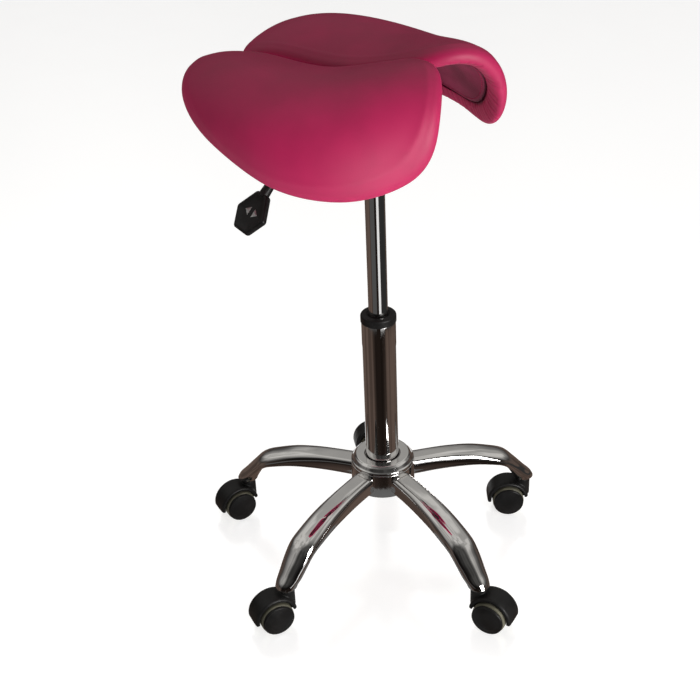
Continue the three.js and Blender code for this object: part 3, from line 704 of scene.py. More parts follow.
def closed_curve(points, samples):
    """A closed centripetal spline through the points, sampled at equal steps of its length."""
    points = np.asarray(points, float)
    fine = []
    for i in range(len(points)):
        p = [points[(i + k - 1) % len(points)] for k in range(4)]
        gaps = [max(np.linalg.norm(p[k + 1] - p[k]) ** 0.5, 1e-6) for k in range(3)]
        slopes = []
        for k in (0, 1):
            one = (p[k + 1] - p[k]) / gaps[k]
            two = (p[k + 2] - p[k]) / (gaps[k] + gaps[k + 1])
            three = (p[k + 2] - p[k + 1]) / gaps[k + 1]
            slopes.append((one - two + three) * gaps[1])
        cubic = 2 * p[1] - 2 * p[2] + slopes[0] + slopes[1]
        square = -3 * p[1] + 3 * p[2] - 2 * slopes[0] - slopes[1]
        for t in np.linspace(0, 1, 60, endpoint=False):
            fine.append(p[1] + slopes[0] * t + square * t ** 2 + cubic * t ** 3)
    return evenly(np.array(fine), samples)


def on_pad(point):
    """Millimetres forward and outward, from shares of the pad's length and reach."""
    return point[0] * PAD_LENGTH, point[1] * PAD_REACH - HALF_PAD


MIDDLE = np.array(on_pad(PAD_MIDDLE))


def pad_edge(samples, inset=0.0):
    """The seat half's edge as flat [forward, outward] points, drawn in by an inset."""
    edge, length = closed_curve([on_pad(point) for point in PAD_OUTLINE], samples)
    tangent = np.roll(edge, -1, axis=0) - np.roll(edge, 1, axis=0)
    tangent /= np.linalg.norm(tangent, axis=1)[:, None]
    return edge + inset * np.column_stack([-tangent[:, 1], tangent[:, 0]]), length


def cushion(name, profile, cells):
    """A closed quad body over the pad's plan, as an object that notes each point's place. The profile
    runs from the first face's edge, round the rim, to the last face's edge, as (inset, lift) points;
    both faces are grids of cells by cells."""
    around, half = 4 * cells, cells // 2
    steps = np.arange(cells + 1) - half
    a, b = np.meshgrid(steps, steps, indexing="ij")
    reach = np.maximum(abs(a), abs(b))
    wide = np.maximum(2 * reach, 1)
    turn = np.select(
        [(b == -reach) & (a < reach), (a == reach) & (b < reach), (b == reach) & (a > -reach)],
        [(a + reach) / wide, 1 + (b + reach) / wide, 2 + (reach - a) / wide],
        3 + (reach - b) / wide)
    share, at = (reach / half).ravel(), ((turn % 4) * cells).ravel() % around
    border = np.nonzero(share == 1)[0]
    rim = np.empty(around, int)
    rim[np.round(at[border]).astype(int) % around] = border
    grid = np.arange((cells + 1) ** 2).reshape(cells + 1, cells + 1)
    quads = np.stack([grid[:-1, :-1], grid[1:, :-1], grid[1:, 1:], grid[:-1, 1:]], -1).reshape(-1, 4)
    layers, faces, ring, start = [], [], None, 0
    for step, (inset, lift) in enumerate(profile):
        plan, _ = pad_edge(around, inset)
        insets, following = np.full(around, inset), start + np.arange(around)
        if step in (0, len(profile) - 1):
            line = np.vstack([plan, plan[:1]])
            out = np.column_stack([np.interp(at, np.arange(around + 1), line[:, k]) for k in (0, 1)])
            plan = MIDDLE + (out - MIDDLE) * share[:, None]
            insets, following = inset + 100 * (1 - share), start + rim
            faces.append(start + (quads[:, [0, 3, 2, 1]] if step else quads))
        if step:
            faces.append(np.column_stack(
                [ring, following, np.roll(following, -1), np.roll(ring, -1)]))
        layers.append((plan, insets, np.full(len(plan), lift)))
        ring, start = following, start + len(plan)
    flat, insets, lifts = (np.concatenate(column) for column in zip(*layers))
    shape = lifted(flat, lifts)
    faces = outward(shape, np.concatenate(faces).tolist())
    body = new_object(name, new_mesh(name, shape * MM, faces))
    for label, values in zip(PLACE, (*flat.T, insets, lifts)):
        add_attribute(body.data, label, values)
    return body


def noted(mesh):
    """Each point's flat place, inset and lift, as its cushion noted them."""
    forward, out, inset, lift = (attribute(mesh, name) for name in PLACE)
    return np.column_stack([forward, out]), inset, lift


def half_turn(start, end, steps, flatter=1.0):
    """(inset, lift) points of an arc round the rim, angles in degrees from the outward side."""
    turns = np.radians(np.linspace(start, end, steps))
    return [(HALF_PAD * (1 - math.cos(turn)), flatter * HALF_PAD * math.sin(turn)) for turn in turns]


def subdivided(piece):
    modify(piece, "SUBSURF", levels=2, render_levels=2)
    return bake(piece)


SWELL_FRAMES = 20
EVENING_PASSES = 10
STUFFING = {
    "quality": 6, "mass": 0.25, "tension_stiffness": 20, "compression_stiffness": 20,
    "shear_stiffness": 12, "bending_stiffness": 0.6, "use_pressure": True,
    "uniform_pressure_force": 4, "vertex_group_mass": "held",
}


def swell(piece, held, cap):
    """Inflates the stuffing by a short cloth simulation. The bulge is evened out between neighbours,
    and no point moves more than the cap."""
    rest = coordinates(piece.data)
    group = piece.vertex_groups.new(name="held")
    group.add([int(i) for i in np.nonzero(held)[0]], 1.0, "REPLACE")
    cloth = modify(piece, "CLOTH")
    for name, value in STUFFING.items():
        setattr(cloth.settings, name, value)
    cloth.settings.effector_weights.gravity = 0
    cloth.point_cache.frame_start = 1
    cloth.point_cache.frame_end = SWELL_FRAMES
    for step in range(1, SWELL_FRAMES + 1):
        SCENE.frame_set(step)
    made = evaluated_mesh(piece)
    change = coordinates(made) - rest
    bpy.data.meshes.remove(made)
    piece.modifiers.clear()
    piece.vertex_groups.clear()
    SCENE.frame_set(1)
    pairs = np.array([edge.vertices[:] for edge in piece.data.edges])
    ones, others = np.concatenate([pairs, pairs[:, ::-1]]).T
    number = np.bincount(ones, minlength=len(rest))[:, None]
    for _ in range(EVENING_PASSES):
        near = np.zeros_like(change)
        np.add.at(near, ones, change[others])
        change = np.where(held[:, None], change, 0.5 * change + 0.5 * near / number)
    share = np.minimum(1, cap / np.maximum(np.linalg.norm(change, axis=1), 1e-9))
    set_coordinates(piece.data, rest + change * share[:, None])


def edge_length_at(flat):
    """How far round the edge each flat point lies, in millimetres, and the edge's whole length."""
    samples = 1400
    edge, length = pad_edge(samples)
    turn = np.unwrap(np.arctan2(*(edge - MIDDLE).T[::-1]))
    sign = 1 if turn[-1] > turn[0] else -1
    turn = sign * turn
    own = sign * np.arctan2(*(flat - MIDDLE).T[::-1])
    own = turn[0] + (own - turn[0]) % (2 * np.pi)
    whole_turn = np.append(turn, turn[0] + 2 * np.pi)
    return np.interp(own, whole_turn, np.linspace(0, length, samples + 1)), length


def gathers(mesh, spacing, seed):
    """For each gather along the edge: its depth, the points' distance in gather widths, and how far
    it runs."""
    along, length = edge_length_at(noted(mesh)[0])
    random = np.random.default_rng(seed)
    count = int(length / spacing)
    places = (np.arange(count) + random.uniform(-0.38, 0.38, count)) * length / count
    depths, widths = random.uniform(0.25, 1.0, count), random.uniform(0.9, 1.9, count)
    for at, deep, wide, far in zip(places, depths, widths, random.uniform(0.3, 1.0, count)):
        yield deep, abs((along - at + length / 2) % length - length / 2) / wide, far


def pressed_in(mesh, depth):
    """Moves each point of a mesh inwards by its own depth."""
    set_coordinates(mesh, coordinates(mesh) - read(mesh.vertex_normals, "vector", 3) * depth[:, None])


def gather(mesh, seed, depth, spacing):
    """Pulls the roll in along its gathers and at its seam, and notes each point's painted shade: in
    the gathers, at the seam and where the vinyl tucks under.
    """
    _, inset, lift = noted(mesh)
    rim = inset < FACE_INSET
    round_roll = np.degrees(np.arctan2(-lift / UNDER, np.maximum(HALF_PAD - inset, 0.01)))
    inner = np.interp(round_roll, ROLL_SPAN, (0, 1)) * rim
    folds = np.zeros(len(inset))
    for deep, gap, far in gathers(mesh, spacing / MM, seed):
        start = (1 - far) * 0.85
        folds += deep * np.exp(-gap ** 2) * np.interp(inner, (start, start + 0.35), (0, 1))
    folds = np.minimum(folds, 1.2)
    under = np.interp(lift, (-6.5, 1.5), (1, 0))
    seam = np.exp(-((inset - SEAM_INSET) / SEAM_WIDTH) ** 2) * under * rim
    pressed_in(mesh, folds * depth + seam * SEAM_DEPTH * MM)
    tucked = (inset > SEAM_INSET - 1) & rim & (lift < 0)
    # painted shade: darkens the vinyl in its gathers, along its seam and where it tucks up under the
    # pad
    add_attribute(mesh, "crease", np.clip(0.38 * folds + 0.9 * seam + 0.9 * tucked, 0, 1))


def seat_half(mesh, name, side):
    """An object in one seat half's place, from a mesh made for the left one that it may change."""
    mesh.name = name
    set_coordinates(mesh, coordinates(mesh) * (side, 1, 1) + tuple(COLUMN))
    if side < 0:
        mesh.flip_normals()
    return new_object(name, mesh)


# -------- operators


PAD_CELLS = 40
LINING_CELLS = 32
# the vinyl's free edge, tucked up into the recess
TUCK = [(17, -9.9), (18.8, -9.2), (20.3, -8), (21.3, -6.6), (21.9, -5)]
# the stuffing starts this much thinner than the finished pad, because it swells
SHRINK = 0.9
SHRINK_INSET = 19
HELD_LIFT = -7.5
HELD_INSET = 20.5
PUCKER_SEED = 7
LINING_SEED = 3
LINING_RIM = 29
LINING_SPACING = 14
LINING_FOLD = 0.35
STITCH_INSET = 27
STITCH_SAMPLES = 360


class STOOL_OT_pads(bpy.types.Operator):
    """Stuff and cover both seat halves"""
    bl_idname = "stool.pads"
    bl_label = "Seat pads"

    def execute(self, context):
        sizes = context.scene.stool_sizes
        profile = [(24, 14.2), (SHRINK_INSET, 14.8), *half_turn(90, 0, 6),
                   *half_turn(-18, -90, 5, UNDER), *TUCK, (23, RECESS_FLOOR)]
        profile = [(inset, lift * (SHRINK if inset < SHRINK_INSET else 1)) for inset, lift in profile]
        stuffing = cushion("stuffing", profile, PAD_CELLS)
        _, inset, lift = noted(stuffing.data)
        held = (lift > HELD_LIFT) & (lift < 0) & (inset > HELD_INSET)
        swell(stuffing, held, sizes.swell)
        subdivided(stuffing)
        for half, side in HALVES:
            mesh = stuffing.data.copy()
            gather(mesh, PUCKER_SEED + side, sizes.pucker_depth, sizes.pucker_spacing)
            piece = dress(seat_half(mesh, f"pad_{half}", side), "vinyl", "seat", f"seat_pad_{half}")
        bpy.data.objects.remove(stuffing)
        return {"FINISHED"}


class STOOL_OT_linings(bpy.types.Operator):
    """Sew a lining panel under each seat half, with its stitched seam, and back it with a board"""
    bl_idname = "stool.linings"
    bl_label = "Linings"

    def execute(self, context):
        panel, stiff = self.panel(), self.board()
        tree = stitch_tree()
        edge, _ = pad_edge(STITCH_SAMPLES, STITCH_INSET)
        seam = lifted(edge, LINING_FACE - 0.25) * MM
        for half, side in HALVES:
            lining = seat_half(panel.data.copy(), f"lining_{half}", side)
            dress(lining, "lining", "seat", f"seat_lining_{half}")
            thread = tree.run(f"stitches_{half}", seam * (side, 1, 1) + tuple(COLUMN), closed=True)
            dress(thread, "thread", "seat")
            board = seat_half(stiff.data.copy(), f"shell_{half}", side)
            dress(board, "shell", "seat", f"seat_shell_{half}")
        for one in (panel, stiff):
            bpy.data.objects.remove(one)
        return {"FINISHED"}

    def panel(self):
        """The left lining: domed in its middle, gathered and turned up at its rim."""
        rim = ((LINING_RIM, 0), (26, 0.1), (24, 0.7), (22.9, 1.9), (22.4, 3.4), (22.8, 3.6),
               (23.4, 2.4), (25, 1.6), (28, 1.5))
        panel = cushion("panel", [(inset, LINING_FACE + rise) for inset, rise in rim], LINING_CELLS)
        mesh = panel.data
        flat, inset, lift = noted(mesh)
        dome = np.interp(inset, (LINING_RIM, LINING_RIM + 14), (0, 1))
        dome = LINING_DOME * dome * dome * (3 - 2 * dome) * (lift <= LINING_FACE + 0.05)
        domed = lifted(flat, lift - dome) * MM
        set_coordinates(mesh, np.where(dome[:, None] > 0, domed, coordinates(mesh)))
        mesh = subdivided(panel).data
        _, inset, _ = noted(mesh)
        folds = np.zeros(len(inset))
        for deep, gap, far in gathers(mesh, LINING_SPACING, LINING_SEED):
            fade = np.interp(inset, (22.5, 22.5 + 14 * far), (1, 0))
            folds += deep * np.exp(-(gap / 1.6) ** 2) * fade
        pressed_in(mesh, LINING_FOLD * MM * np.minimum(folds, 1))
        # painted shade in the folds and along the rim where the lining turns up into the roll
        edge = np.interp(inset, (22.6, 24.6), (1, 0))
        add_attribute(mesh, "crease", np.clip(0.3 * folds + edge, 0, 1))
        return panel

    def board(self):
        """The left stiff board behind the lining, with eased edges."""
        low, high = BOARD
        return cushion("board", [(31, low), (29, low), (28.5, low + 0.5), (28.5, high - 0.5),
                                 (29, high), (31, high)], PAD_CELLS)


def between(stations, samples):
    """Stations in between the given ones, on a smooth curve through them."""
    table = np.array(stations, float)
    padded = np.vstack([2 * table[0] - table[1], table, 2 * table[-1] - table[-2]])
    made = []
    for a, b, c, d in zip(padded, padded[1:], padded[2:], padded[3:]):
        for t in np.linspace(0, 1, samples, endpoint=False):
            made.append(0.5 * (2 * b + (c - a) * t + (2 * a - 5 * b + 4 * c - d) * t ** 2
                               + (3 * b - a - 3 * c + d) * t ** 3))
    return made + [table[-1]]


def leg_section(station, lip):
    """One closed section of a leg: a squared crown, a rolled lip low on each side, and the belly."""
    out, drop, lean, crown, belly, half, square = station
    turn = np.linspace(0, np.pi, 240)
    power = 2 / max(square, 2)
    across = np.sign(np.cos(turn)) * abs(np.cos(turn)) ** power * half
    rise = np.sin(turn) ** power * crown
    low = np.interp(abs(rise - 1.1), (0, 1.4), (1, 0))
    across = across + np.sign(across) * lip * low ** 1.5
    under = np.linspace(0, np.pi, 60)[1:-1]
    loop = np.column_stack([np.append(across, -np.cos(under) * half),
                            np.append(rise, -np.sin(under) * belly)])
    across, rise = evenly(loop, 112)[0].T
    tilt = math.radians(lean)
    reach = LEG_ROOT + (LEG_REACH - LEG_ROOT) * out
    height = ROOT_HEIGHT + (TIP_HEIGHT - ROOT_HEIGHT) * drop
    return np.column_stack([reach + math.sin(tilt) * rise, across, height + math.cos(tilt) * rise])


class STOOL_OT_legs(bpy.types.Operator):
    """Press and polish the five legs"""
    bl_idname = "stool.legs"
    bl_label = "Legs"

    def execute(self, context):
        lip = context.scene.stool_sizes.lip / MM
        shape = lofted([leg_section(station, lip * np.interp(station[0], (0.3, 0.8), (1, 0)))
                        for station in between(LEG_STATIONS, 7)])
        for number in NUMBERS:
            place = AT_COLUMN @ turn_to(f"caster_{number}_stem")
            name = f"leg_{number}"
            add_piece(f"{name}_shell", moved(shape, place), "chrome", "base", name)
        return {"FINISHED"}


def add_turned(node, body, finish, soft, profile, closed=False):
    """A turned piece about the column that takes a node's place."""
    shape = moved(turned(profile, soft=soft, closed=closed), AT_COLUMN)
    add_piece(f"{node}_turned", shape, finish, body, node)


class STOOL_OT_column(bpy.types.Operator):
    """Turn the hub, the tubes and the parts inside the column"""
    bl_idname = "stool.column"
    bl_label = "Column"

    def execute(self, context):
        low, high = ends("hub_sleeve")
        taper_top = high + 20
        add_turned("hub_sleeve", "base", "chrome", 0.9, [
            (TUBE - 0.6, low), (HUB, low), (HUB, high), (TUBE + 0.1, high)], closed=True)
        low, high = ends("hub_ring")
        add_turned("hub_ring", "base", "chrome", 0.8, [
            (TUBE + 1.2, low), (HUB - 0.5, low), (HUB - 0.5, low + 4), (HUB - 2.4, low + 5.6),
            (HUB - 5.2, high - 3.2), (HUB - 7, high - 1.6), (HUB - 8.4, high - 0.2),
            (HUB - 10.5, high), (TUBE + 3, high - 0.3), (TUBE + 1.2, high - 1.6)], closed=True)
        low, high = ends("column_tube")
        add_turned("column_tube", "base", "chrome", 0.5, [
            (ROD + 0.4, low), (TUBE - 1, low), (TUBE, taper_top), (TUBE, high), (BORE, high),
            (BORE, taper_top), (TUBE - 2.9, low + 3), (ROD + 0.4, low + 3)], closed=True)
        collar = high + 0.3
        low, high = ends("guide_bushing")
        add_turned("guide_bushing", "base", "nylon", 0.9, [
            (CYLINDER + 0.4, low), (BORE - 0.3, low), (BORE - 0.3, collar), (TUBE + 1, collar),
            (TUBE + 1, high - 2.6), (TUBE, high - 0.9), (TUBE - 1.8, high), (17, high),
            (16.2, high - 1.4), (CYLINDER + 0.4, high - 1.8)], closed=True)
        low, high = ends("gas_cylinder")
        add_turned("gas_cylinder", "lift", "bright", 0.5, [
            (0, low + 267), (12, low + 267), (12, low + 5), (ROD + 0.4, low + 5), (ROD + 0.4, low),
            (CYLINDER, low), (CYLINDER, high - 42), (13, high), (4.3, high), (4.3, high - 12.3),
            (0, high - 12.3)])
        low, high = ends("piston_rod")
        add_turned("piston_rod", "swivel", "steel", 0.4, [
            (0, low), (ROD, low), (ROD, low + 2), (ROD - 1, low + 2), (ROD - 1, low + 4),
            (ROD, low + 4), (ROD, high - 12), (11.6, high - 12), (11.6, high), (0, high)])
        for node, body, finish, inner in (
            ("thrust_bearing", "base", "steel", ROD + 0.4),
            ("buffer_ring", "base", "rubber", ROD + 0.4),
            ("retaining_clip", "swivel", "steel", ROD - 0.7),
        ):
            (low, high), (left, right) = ends(node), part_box(node)
            outer = (right.x - left.x) / 2 / MM
            add_turned(node, body, finish, 0.4, [
                (inner, low), (outer, low), (outer, high), (inner, high)], closed=True)
        low, high = ends("release_button")
        add_turned("release_button", "release_button", "steel", 0.8, [
            (0, low), (4, low), (4, high), (0, high)])
        return {"FINISHED"}


def swung(profile, steps):
    """A closed (r, y) profile swung about the wheel's axle over the hood's arc, with flat ends."""
    return lofted([[(TRAIL + r * math.cos(turn), y, WHEEL + r * math.sin(turn)) for r, y in profile]
                   for turn in np.radians(np.linspace(*HOOD_SWING, steps))])


def across_axle(shape):
    """A body turned about Z, laid along the wheel's axle."""
    lay = Matrix.Rotation(-math.pi / 2, 4, "X")
    return moved(shape, Matrix.Translation((TRAIL, 0, WHEEL)) @ lay)


def hood_shape():
    """The fender over both wheels, the wall between them and the stem's boss, grown into one."""
    side = [(HOOD_IN, -HOOD_HALF), (HOOD_OUT - 3, -HOOD_HALF), (HOOD_OUT - 1, 1.4 - HOOD_HALF),
            (HOOD_OUT - 0.2, 4 - HOOD_HALF)]
    fender = [*side, (HOOD_OUT, 0), *[(r, -y) for r, y in side[::-1]]]
    wall = WEB / 2 - 0.3
    web = [(0.01, -wall), (HOOD_IN + 1, -wall), (HOOD_IN + 1, wall), (0.01, wall)]
    _, top = ends("caster_1_hood")
    foot = WHEEL + 3
    boss = turned([(0, foot), (BOSS, foot), (BOSS, top - 3), (BOSS - 1.5, top), (0, top)], 48, 3)
    points, faces = together(swung(fender, 60), swung(web, 44), boss)
    rough = new_object("rough_hood", new_mesh("rough_hood", points * MM, faces))
    modify(rough, "REMESH", mode="VOXEL", voxel_size=HOOD_VOXEL * MM)
    modify(rough, "SMOOTH", factor=0.6, iterations=5)
    bake(rough)
    shape = coordinates(rough.data) / MM, [tuple(face.vertices) for face in rough.data.polygons]
    bpy.data.objects.remove(rough)
    return shape


def wheel_shapes(side):
    """The soft tread and the hard cap of one wheel."""
    low, high, rim = WHEEL_IN, WHEEL_OUT, WHEEL - 0.9
    tread = [(3.4, low), (WHEEL - 2.4, low), (WHEEL - 0.6, low + 0.6), (WHEEL, low + 2.2),
             (WHEEL, high - 7.5), (WHEEL - 0.4, high - 6), (WHEEL - 1.4, high - 5.2), (22, high - 5),
             (3.4, high - 5)]
    cap = [(0, high - 4.8), (rim - 1, high - 4.8), (rim, high - 3.6), (rim - 0.3, high - 1.6),
           (rim - 1.5, high - 0.5), (rim - 2.4, high - 0.8), (rim - 3.2, high - 0.6),
           (15, high + 0.5), (8, high + 1.1), (0, high + 1.3)]
    return [across_axle(turned([(r, side * y) for r, y in profile], 96, soft, closed))
            for profile, soft, closed in ((tread, 0.5, True), (cap, 0.7, False))]


class STOOL_OT_casters(bpy.types.Operator):
    """Mould the hoods and set the twin wheels, stems and axles"""
    bl_idname = "stool.casters"
    bl_label = "Casters"

    def execute(self, context):
        hood = hood_shape()
        wheels = {side: wheel_shapes(side) for side in (1, -1)}
        low, high = ends("caster_1_stem")
        above = FLANGE + FLANGE_THICKNESS
        stem = turned([(0, low), (5, low), (5, FLANGE), (8, FLANGE), (8, above), (5, above),
                       (5, high), (0, high)], 48, 0.3)
        axle = across_axle(turned([(0, -18.2), (3, -18.2), (3, 18.2), (0, 18.2)], 32, 0.5))
        for number in NUMBERS:
            name = f"caster_{number}"
            foot = centre(f"{name}_stem")
            place = Matrix.Translation((foot.x / MM, foot.y / MM, 0)) @ turn_to(f"{name}_axle", foot)
            add_piece(f"{name}_hood_moulded", moved(hood, place), "nylon", name, f"{name}_hood")
            add_piece(f"{name}_stem_pin", moved(stem, place), "steel", "base", f"{name}_stem")
            add_piece(f"{name}_axle_pin", moved(axle, place), "steel", name, f"{name}_axle")
            for label, side in HALVES:
                tread, cap = wheels[side]
                body, node = f"{name}_{label}_wheel", f"{name}_wheel_{label}"
                add_piece(f"{node}_tread", moved(tread, place), "tread", body, node)
                add_piece(f"{node}_cap", moved(cap, place), "cap", body)
        return {"FINISHED"}


def rounded_outline(corners, radius, steps):
    """A closed outline with each corner rounded, as steps + 1 points a corner."""
    corners = np.array(corners, float)
    made = []
    for before, corner, after in zip(np.roll(corners, 1, 0), corners, np.roll(corners, -1, 0)):
        made += rounded(before, corner, after, radius, steps)[0]
    return np.array(made)


def layered(outline, layers):
    """A flat outline, scaled and lifted by each layer's share and height."""
    return lofted([np.column_stack([outline * share, np.full(len(outline), lift)])
                   for share, lift in layers])


def paddle_shape():
    """A six-sided grip with rounded edges, a shallow dish for the fingers and a neck for the rod."""
    half, side, thick = (PADDLE[key] / 2 for key in ("length", "width", "thickness"))
    one_side = [(-half, -side * 0.38), (2, -side), (half, -side * 0.48)]
    hexagon = one_side + [(x, -y) for x, y in one_side[::-1]]
    layers = ((0.3, 0.55), (0.55, 0.58), (0.72, 0.7), (0.8, 0.9), (0.86, 1), (0.93, 0.99),
              (0.97, 0.8), (0.992, 0.5), (1, 0), (0.992, -0.5), (0.97, -0.8), (0.93, -0.97),
              (0.86, -1), (0.5, -1))
    outline = rounded_outline(hexagon, 3.2, 6)
    grip = layered(outline, [(share, lift * thick) for share, lift in layers])
    neck = turned([(0, 0), (6, 0), (6.4, 8), (7.2, 24), (7, 27), (0, 27)], 32, 1.4)
    root = Matrix.Translation((-half - 22, 0, 0)) @ Matrix.Rotation(math.pi / 2, 4, "Y")
    return together(grip, moved(neck, root))


def arrow_shape(turn):
    """A small printed triangle that points up or down the paddle."""
    corners = rounded_outline([(8.5, 0), (-2.5, 6), (-2.5, -6)], 0.7, 3)
    place = Matrix.Rotation(turn, 4, "Z") @ Matrix.Translation((7, 0, 0))
    return moved(layered(corners, ((1, 0), (1, 0.22))), place)


class STOOL_OT_levers(bpy.types.Operator):
    """Bend the levers and mould their paddles"""
    bl_idname = "stool.levers"
    bl_label = "Levers"

    def execute(self, context):
        knee, height = LEVER["knee"], LEVER["height"]
        slope = math.radians(LEVER["drop"])
        middle, tip = ((far, 0, height - (far - knee) * math.tan(slope))
                       for far in (PADDLE["centre"], LEVER["tip"]))
        on_arm = Matrix.Translation(middle) @ Matrix.Rotation(slope, 4, "Y")
        face = Matrix.Translation((0, 0, PADDLE["thickness"] / 2 * 0.56))
        rod, paddle = rod_tree(), paddle_shape()
        marks = together(arrow_shape(math.pi / 2), arrow_shape(-math.pi / 2))
        for name, start in (("height", -4), ("tilt", 16)):
            body = f"{name}_lever"
            arm = AT_COLUMN @ turn_to(f"{name}_paddle")
            path, _ = moved(([(start, 0, height), (knee, 0, height), tip], []), arm)
            dress(rod.run(f"{name}_lever_rod", path * MM), "powder_coat", body, f"{name}_lever")
            grip = moved(paddle, arm @ on_arm)
            add_piece(f"{name}_paddle_grip", grip, "nylon", body, f"{name}_paddle")
            add_piece(f"{name}_arrows", moved(marks, arm @ on_arm @ face), "mark", body)
        return {"FINISHED"}


def refined(node, name, width, body):
    """A CAD shape with its doubles merged, its flats joined and its sharp edges bevelled."""
    piece = new_object(name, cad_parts[node].data.copy())
    modify(piece, "WELD", merge_threshold=0.01 * MM)
    modify(piece, "DECIMATE", decimate_type="DISSOLVE", angle_limit=math.radians(1))
    modify(piece, "BEVEL", width=width * MM, segments=2, limit_method="ANGLE",
           angle_limit=math.radians(35), use_clamp_overlap=True)
    dress(bake(piece), "powder_coat", body, node)
    piece.data.set_sharp_from_angle(angle=math.radians(28))


class STOOL_OT_mechanism(bpy.types.Operator):
    """Finish the tilt housing, the seat plate, the axle, the spring and the seat screws"""
    bl_idname = "stool.mechanism"
    bl_label = "Tilt mechanism"

    def execute(self, context):
        refined("tilt_housing", "tilt_housing_cast", 0.7, "lift")
        refined("seat_plate", "seat_plate_pressed", 0.5, "seat")
        low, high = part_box("tilt_axle")
        start, end = low.x / MM, high.x / MM
        axle = turned([(0, start), (4.9, start), (4.9, end - 3), (8, end - 3), (8, end),
                       (0, end)], 48)
        lay = Matrix.Rotation(math.pi / 2, 4, "Y")
        height = centre("tilt_axle").z
        place = Matrix.Translation((0, COLUMN.y / MM, height / MM)) @ lay
        add_piece("tilt_axle_pin", moved(axle, place), "steel", "lift", "tilt_axle")
        coil = spring_tree().run("tilt_spring_coil", [(0, 0, 0), (0, 0, 1)])
        left = COLUMN.x - SPRING["length"] / 2 * MM
        coil.data.transform(Matrix.Translation((left, COLUMN.y, height)) @ lay)
        dress(coil, "steel", "lift", "tilt_spring")
        for half, side in HALVES:
            for number in (1, 2, 3):
                self.add_screw(f"seat_screw_{half}_{number}", side)
        return {"FINISHED"}

    def add_screw(self, node, side):
        """A button-head screw with a hexagon socket, square to its wing of the plate."""
        points = coordinates(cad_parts[node].data) / MM
        tilt = (Matrix.Rotation(-math.radians(WING_PITCH), 4, "X")
                @ Matrix.Rotation(-side * math.radians(WING_ROLL), 4, "Y"))
        axis = np.array(tilt.to_3x3() @ Vector((0, 0, 1)))
        along, middle = points @ axis, points.mean(0)
        length = along.max() - along.min()
        foot = middle + axis * (along.min() - middle @ axis)
        screw = turned([(0, 1.4), (2.2, 1.4), (2.4, 0.1), (3.4, 0.1), (5, 1.1), (5.5, 3.5), (3, 3.5),
                        (3, length), (0, length)], 36, 0.3)
        place = Matrix.Translation(tuple(foot)) @ tilt
        add_piece(f"{node}_turned", moved(screw, place), "steel", "seat", node)


# -------- stage

CAMERA_PLACE = (0, -1.477, 1.2164)
CAMERA_YAW = math.radians(1.653)
CAMERA_PITCH = math.radians(30.53)
CAMERA_ROLL = math.radians(-2.552)
STOOL_TURN = math.radians(-58.54)  # from a frame that has its front at -Y to the stool's
WALL_RADIUS = 8.8
WALL_SIDES = 72
# pale above, dark and warm below, so that polished parts read as they do over a dark floor
SKY = (
    (0.0, (0.115, 0.078, 0.062)), (0.5, (0.1, 0.074, 0.062)), (0.6, (0.05, 0.046, 0.044)),
    (0.68, (0.2, 0.195, 0.19)), (0.78, (0.53, 0.52, 0.5)), (1.0, (0.54, 0.53, 0.51)),
)
# cards under the floor: nearest and farthest from the column, in metres, the span in degrees to the
# right of the front, and the brightness
CARDS = {
    "rod_card": (0.78, 2.1, (12, 38), 1.0),
    "side_card": (0.78, 2.1, (-62, -12), 0.085),
    "rim_card": (0.25, 0.68, (150, 210), 0.9),
    "dark_card": (0.78, 2.1, (40, 125), 0.025),
    "hub_card": (0.1, 0.27, (-65, 65), 0.15),
}
CARD_HEIGHT = -0.04
CARD_POINTS = 9


def from_front(point):
    """A point given as right of, beyond and above the column's foot, as seen from the front."""
    return Matrix.Rotation(STOOL_TURN, 3, "Z") @ Vector(point) + COLUMN


def glow(name, brightness):
    """A plain white glow for a card or a wall."""
    finish = Finish(name, (0, 0, 0), 1.0, emission_color=(1, 1, 1, 1), emission_strength=brightness)
    return finish.material


def add_staging(name, points, faces, material):
    made = new_object(name, new_mesh(name, points, faces))
    made.data.materials.append(material)
    return made


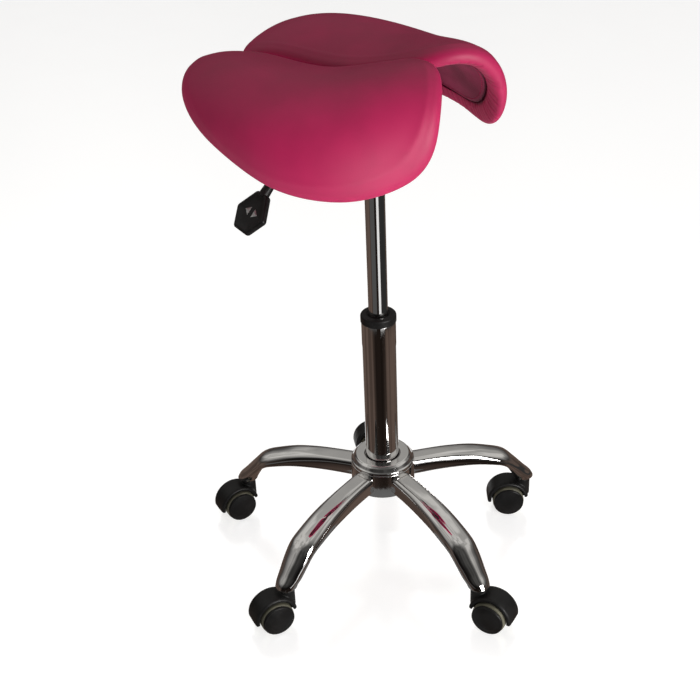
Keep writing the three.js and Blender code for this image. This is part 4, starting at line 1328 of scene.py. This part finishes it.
class STOOL_OT_stage(bpy.types.Operator):
    """Lay the floor and set the lights and the camera"""
    bl_idname = "stool.stage"
    bl_label = "Stage"

    def execute(self, context):
        context.scene.view_settings.view_transform = "Standard"
        corners = [(-9, -9, 0), (9, -9, 0), (9, 9, 0), (-9, 9, 0)]
        floor = add_staging("floor", corners, [(0, 1, 2, 3)], finish_of("floor"))
        floor.visible_glossy = False
        self.add_backdrop()
        self.add_camera()
        self.add_world()
        self.add_key_light()
        for name, card in CARDS.items():
            self.add_card(name, *card)
        return {"FINISHED"}

    def add_backdrop(self):
        """A pale wall all round, which only the camera sees."""
        count = WALL_SIDES
        turns = np.linspace(0, 2 * np.pi, count, endpoint=False)
        points = [(WALL_RADIUS * math.cos(turn), WALL_RADIUS * math.sin(turn), z)
                  for z in (-0.5, 9) for turn in turns]
        faces = [(i, (i + 1) % count, count + (i + 1) % count, count + i) for i in range(count)]
        wall = add_staging("backdrop", points, faces, glow("wall_glow", 0.93))
        wall.visible_diffuse = wall.visible_glossy = wall.visible_shadow = False

    def add_camera(self):
        data = bpy.data.cameras.new("camera")
        data.lens = 60.68
        data.sensor_width = 36
        data.clip_end = 60
        turns = ((STOOL_TURN, "Z"), (CAMERA_YAW, "Z"), (math.pi / 2 - CAMERA_PITCH, "X"),
                 (CAMERA_ROLL, "Z"))
        place = Matrix.Translation(from_front(CAMERA_PLACE))
        for angle, axis in turns:
            place = place @ Matrix.Rotation(angle, 4, axis)
        SCENE.camera = new_object("camera", data)
        SCENE.camera.matrix_world = place

    def add_world(self):
        """A sky of SKY's colours by height, dim towards the front and uneven all over."""
        SCENE.world = bpy.data.worlds.new("studio")
        SCENE.world.use_nodes = True
        tree = SCENE.world.node_tree
        heading = add_node(tree, "ShaderNodeTexCoord", output="Generated")
        height = add_node(tree, "ShaderNodeSeparateXYZ", inputs={0: heading}, output="Z")
        sky = add_node(tree, "ShaderNodeValToRGB", {"stops": SKY}, {0: height * 0.5 + 0.5})
        front = tuple(from_front((0, -1, 0.18)) - COLUMN)
        facing = add_node(tree, "ShaderNodeVectorMath", {"operation": "DOT_PRODUCT"},
                          {0: heading, 1: front}, output="Value")
        clutter = add_node(tree, "ShaderNodeTexNoise", inputs={
            "Vector": heading, "Scale": 3.2, "Detail": 3.0})
        strength = (1 - 0.88 * facing.ramp(0.38, 0.72)) * (0.72 + 0.5 * clutter.ramp(0.42, 0.58))
        for name, field in (("Color", sky), ("Strength", strength)):
            tree.links.new(field.socket, tree.nodes["Background"].inputs[name])

    def add_card(self, name, near, far, span, brightness):
        """A card just under the floor, which only polished parts see."""
        count = CARD_POINTS
        points = [from_front((r * math.sin(turn), -r * math.cos(turn), CARD_HEIGHT))
                  for r in (near, far) for turn in np.radians(np.linspace(*span, count))]
        faces = [(i, i + 1, count + i + 1, count + i) for i in range(count - 1)]
        add_staging(name, points, faces, glow(name, brightness))

    def add_key_light(self):
        data = bpy.data.lights.new("key_light", "AREA")
        data.shape = "SQUARE"
        data.size = 1.1
        data.energy = 53
        data.color = (1, 0.98, 0.97)
        light = new_object("key_light", data)
        light.location = from_front((1.7, -2.0, 0.75))
        light.rotation_mode = "QUATERNION"
        away = light.location - from_front((0, 0, 0.5))
        light.rotation_quaternion = away.to_track_quat("Z", "Y")


class STOOL_PT_panel(bpy.types.Panel):
    """The stool's pieces, sizes and colours"""
    bl_idname = "STOOL_PT_panel"
    bl_label = "Stool"
    bl_space_type = "VIEW_3D"
    bl_region_type = "UI"
    bl_category = "Stool"

    def draw(self, context):
        for settings in (context.scene.stool_sizes, context.scene.stool_colours):
            for name in settings.__annotations__:
                self.layout.prop(settings, name)
        for step in STEPS:
            self.layout.operator(step.bl_idname)


STEPS = (
    STOOL_OT_stage, STOOL_OT_pads, STOOL_OT_linings, STOOL_OT_legs, STOOL_OT_column, STOOL_OT_casters,
    STOOL_OT_levers, STOOL_OT_mechanism,
)
CLASSES = (StoolSizes, StoolColours, *STEPS, STOOL_PT_panel)


def register():
    for kind in CLASSES:
        bpy.utils.register_class(kind)
    bpy.types.Scene.stool_sizes = bpy.props.PointerProperty(type=StoolSizes)
    bpy.types.Scene.stool_colours = bpy.props.PointerProperty(type=StoolColours)


def unregister():
    del bpy.types.Scene.stool_sizes
    del bpy.types.Scene.stool_colours
    for kind in reversed(CLASSES):
        bpy.utils.unregister_class(kind)


def main():
    register()
    for step in STEPS:
        group, name = step.bl_idname.split(".")
        getattr(getattr(bpy.ops, group), name)()


if __name__ == "__main__":
    main()
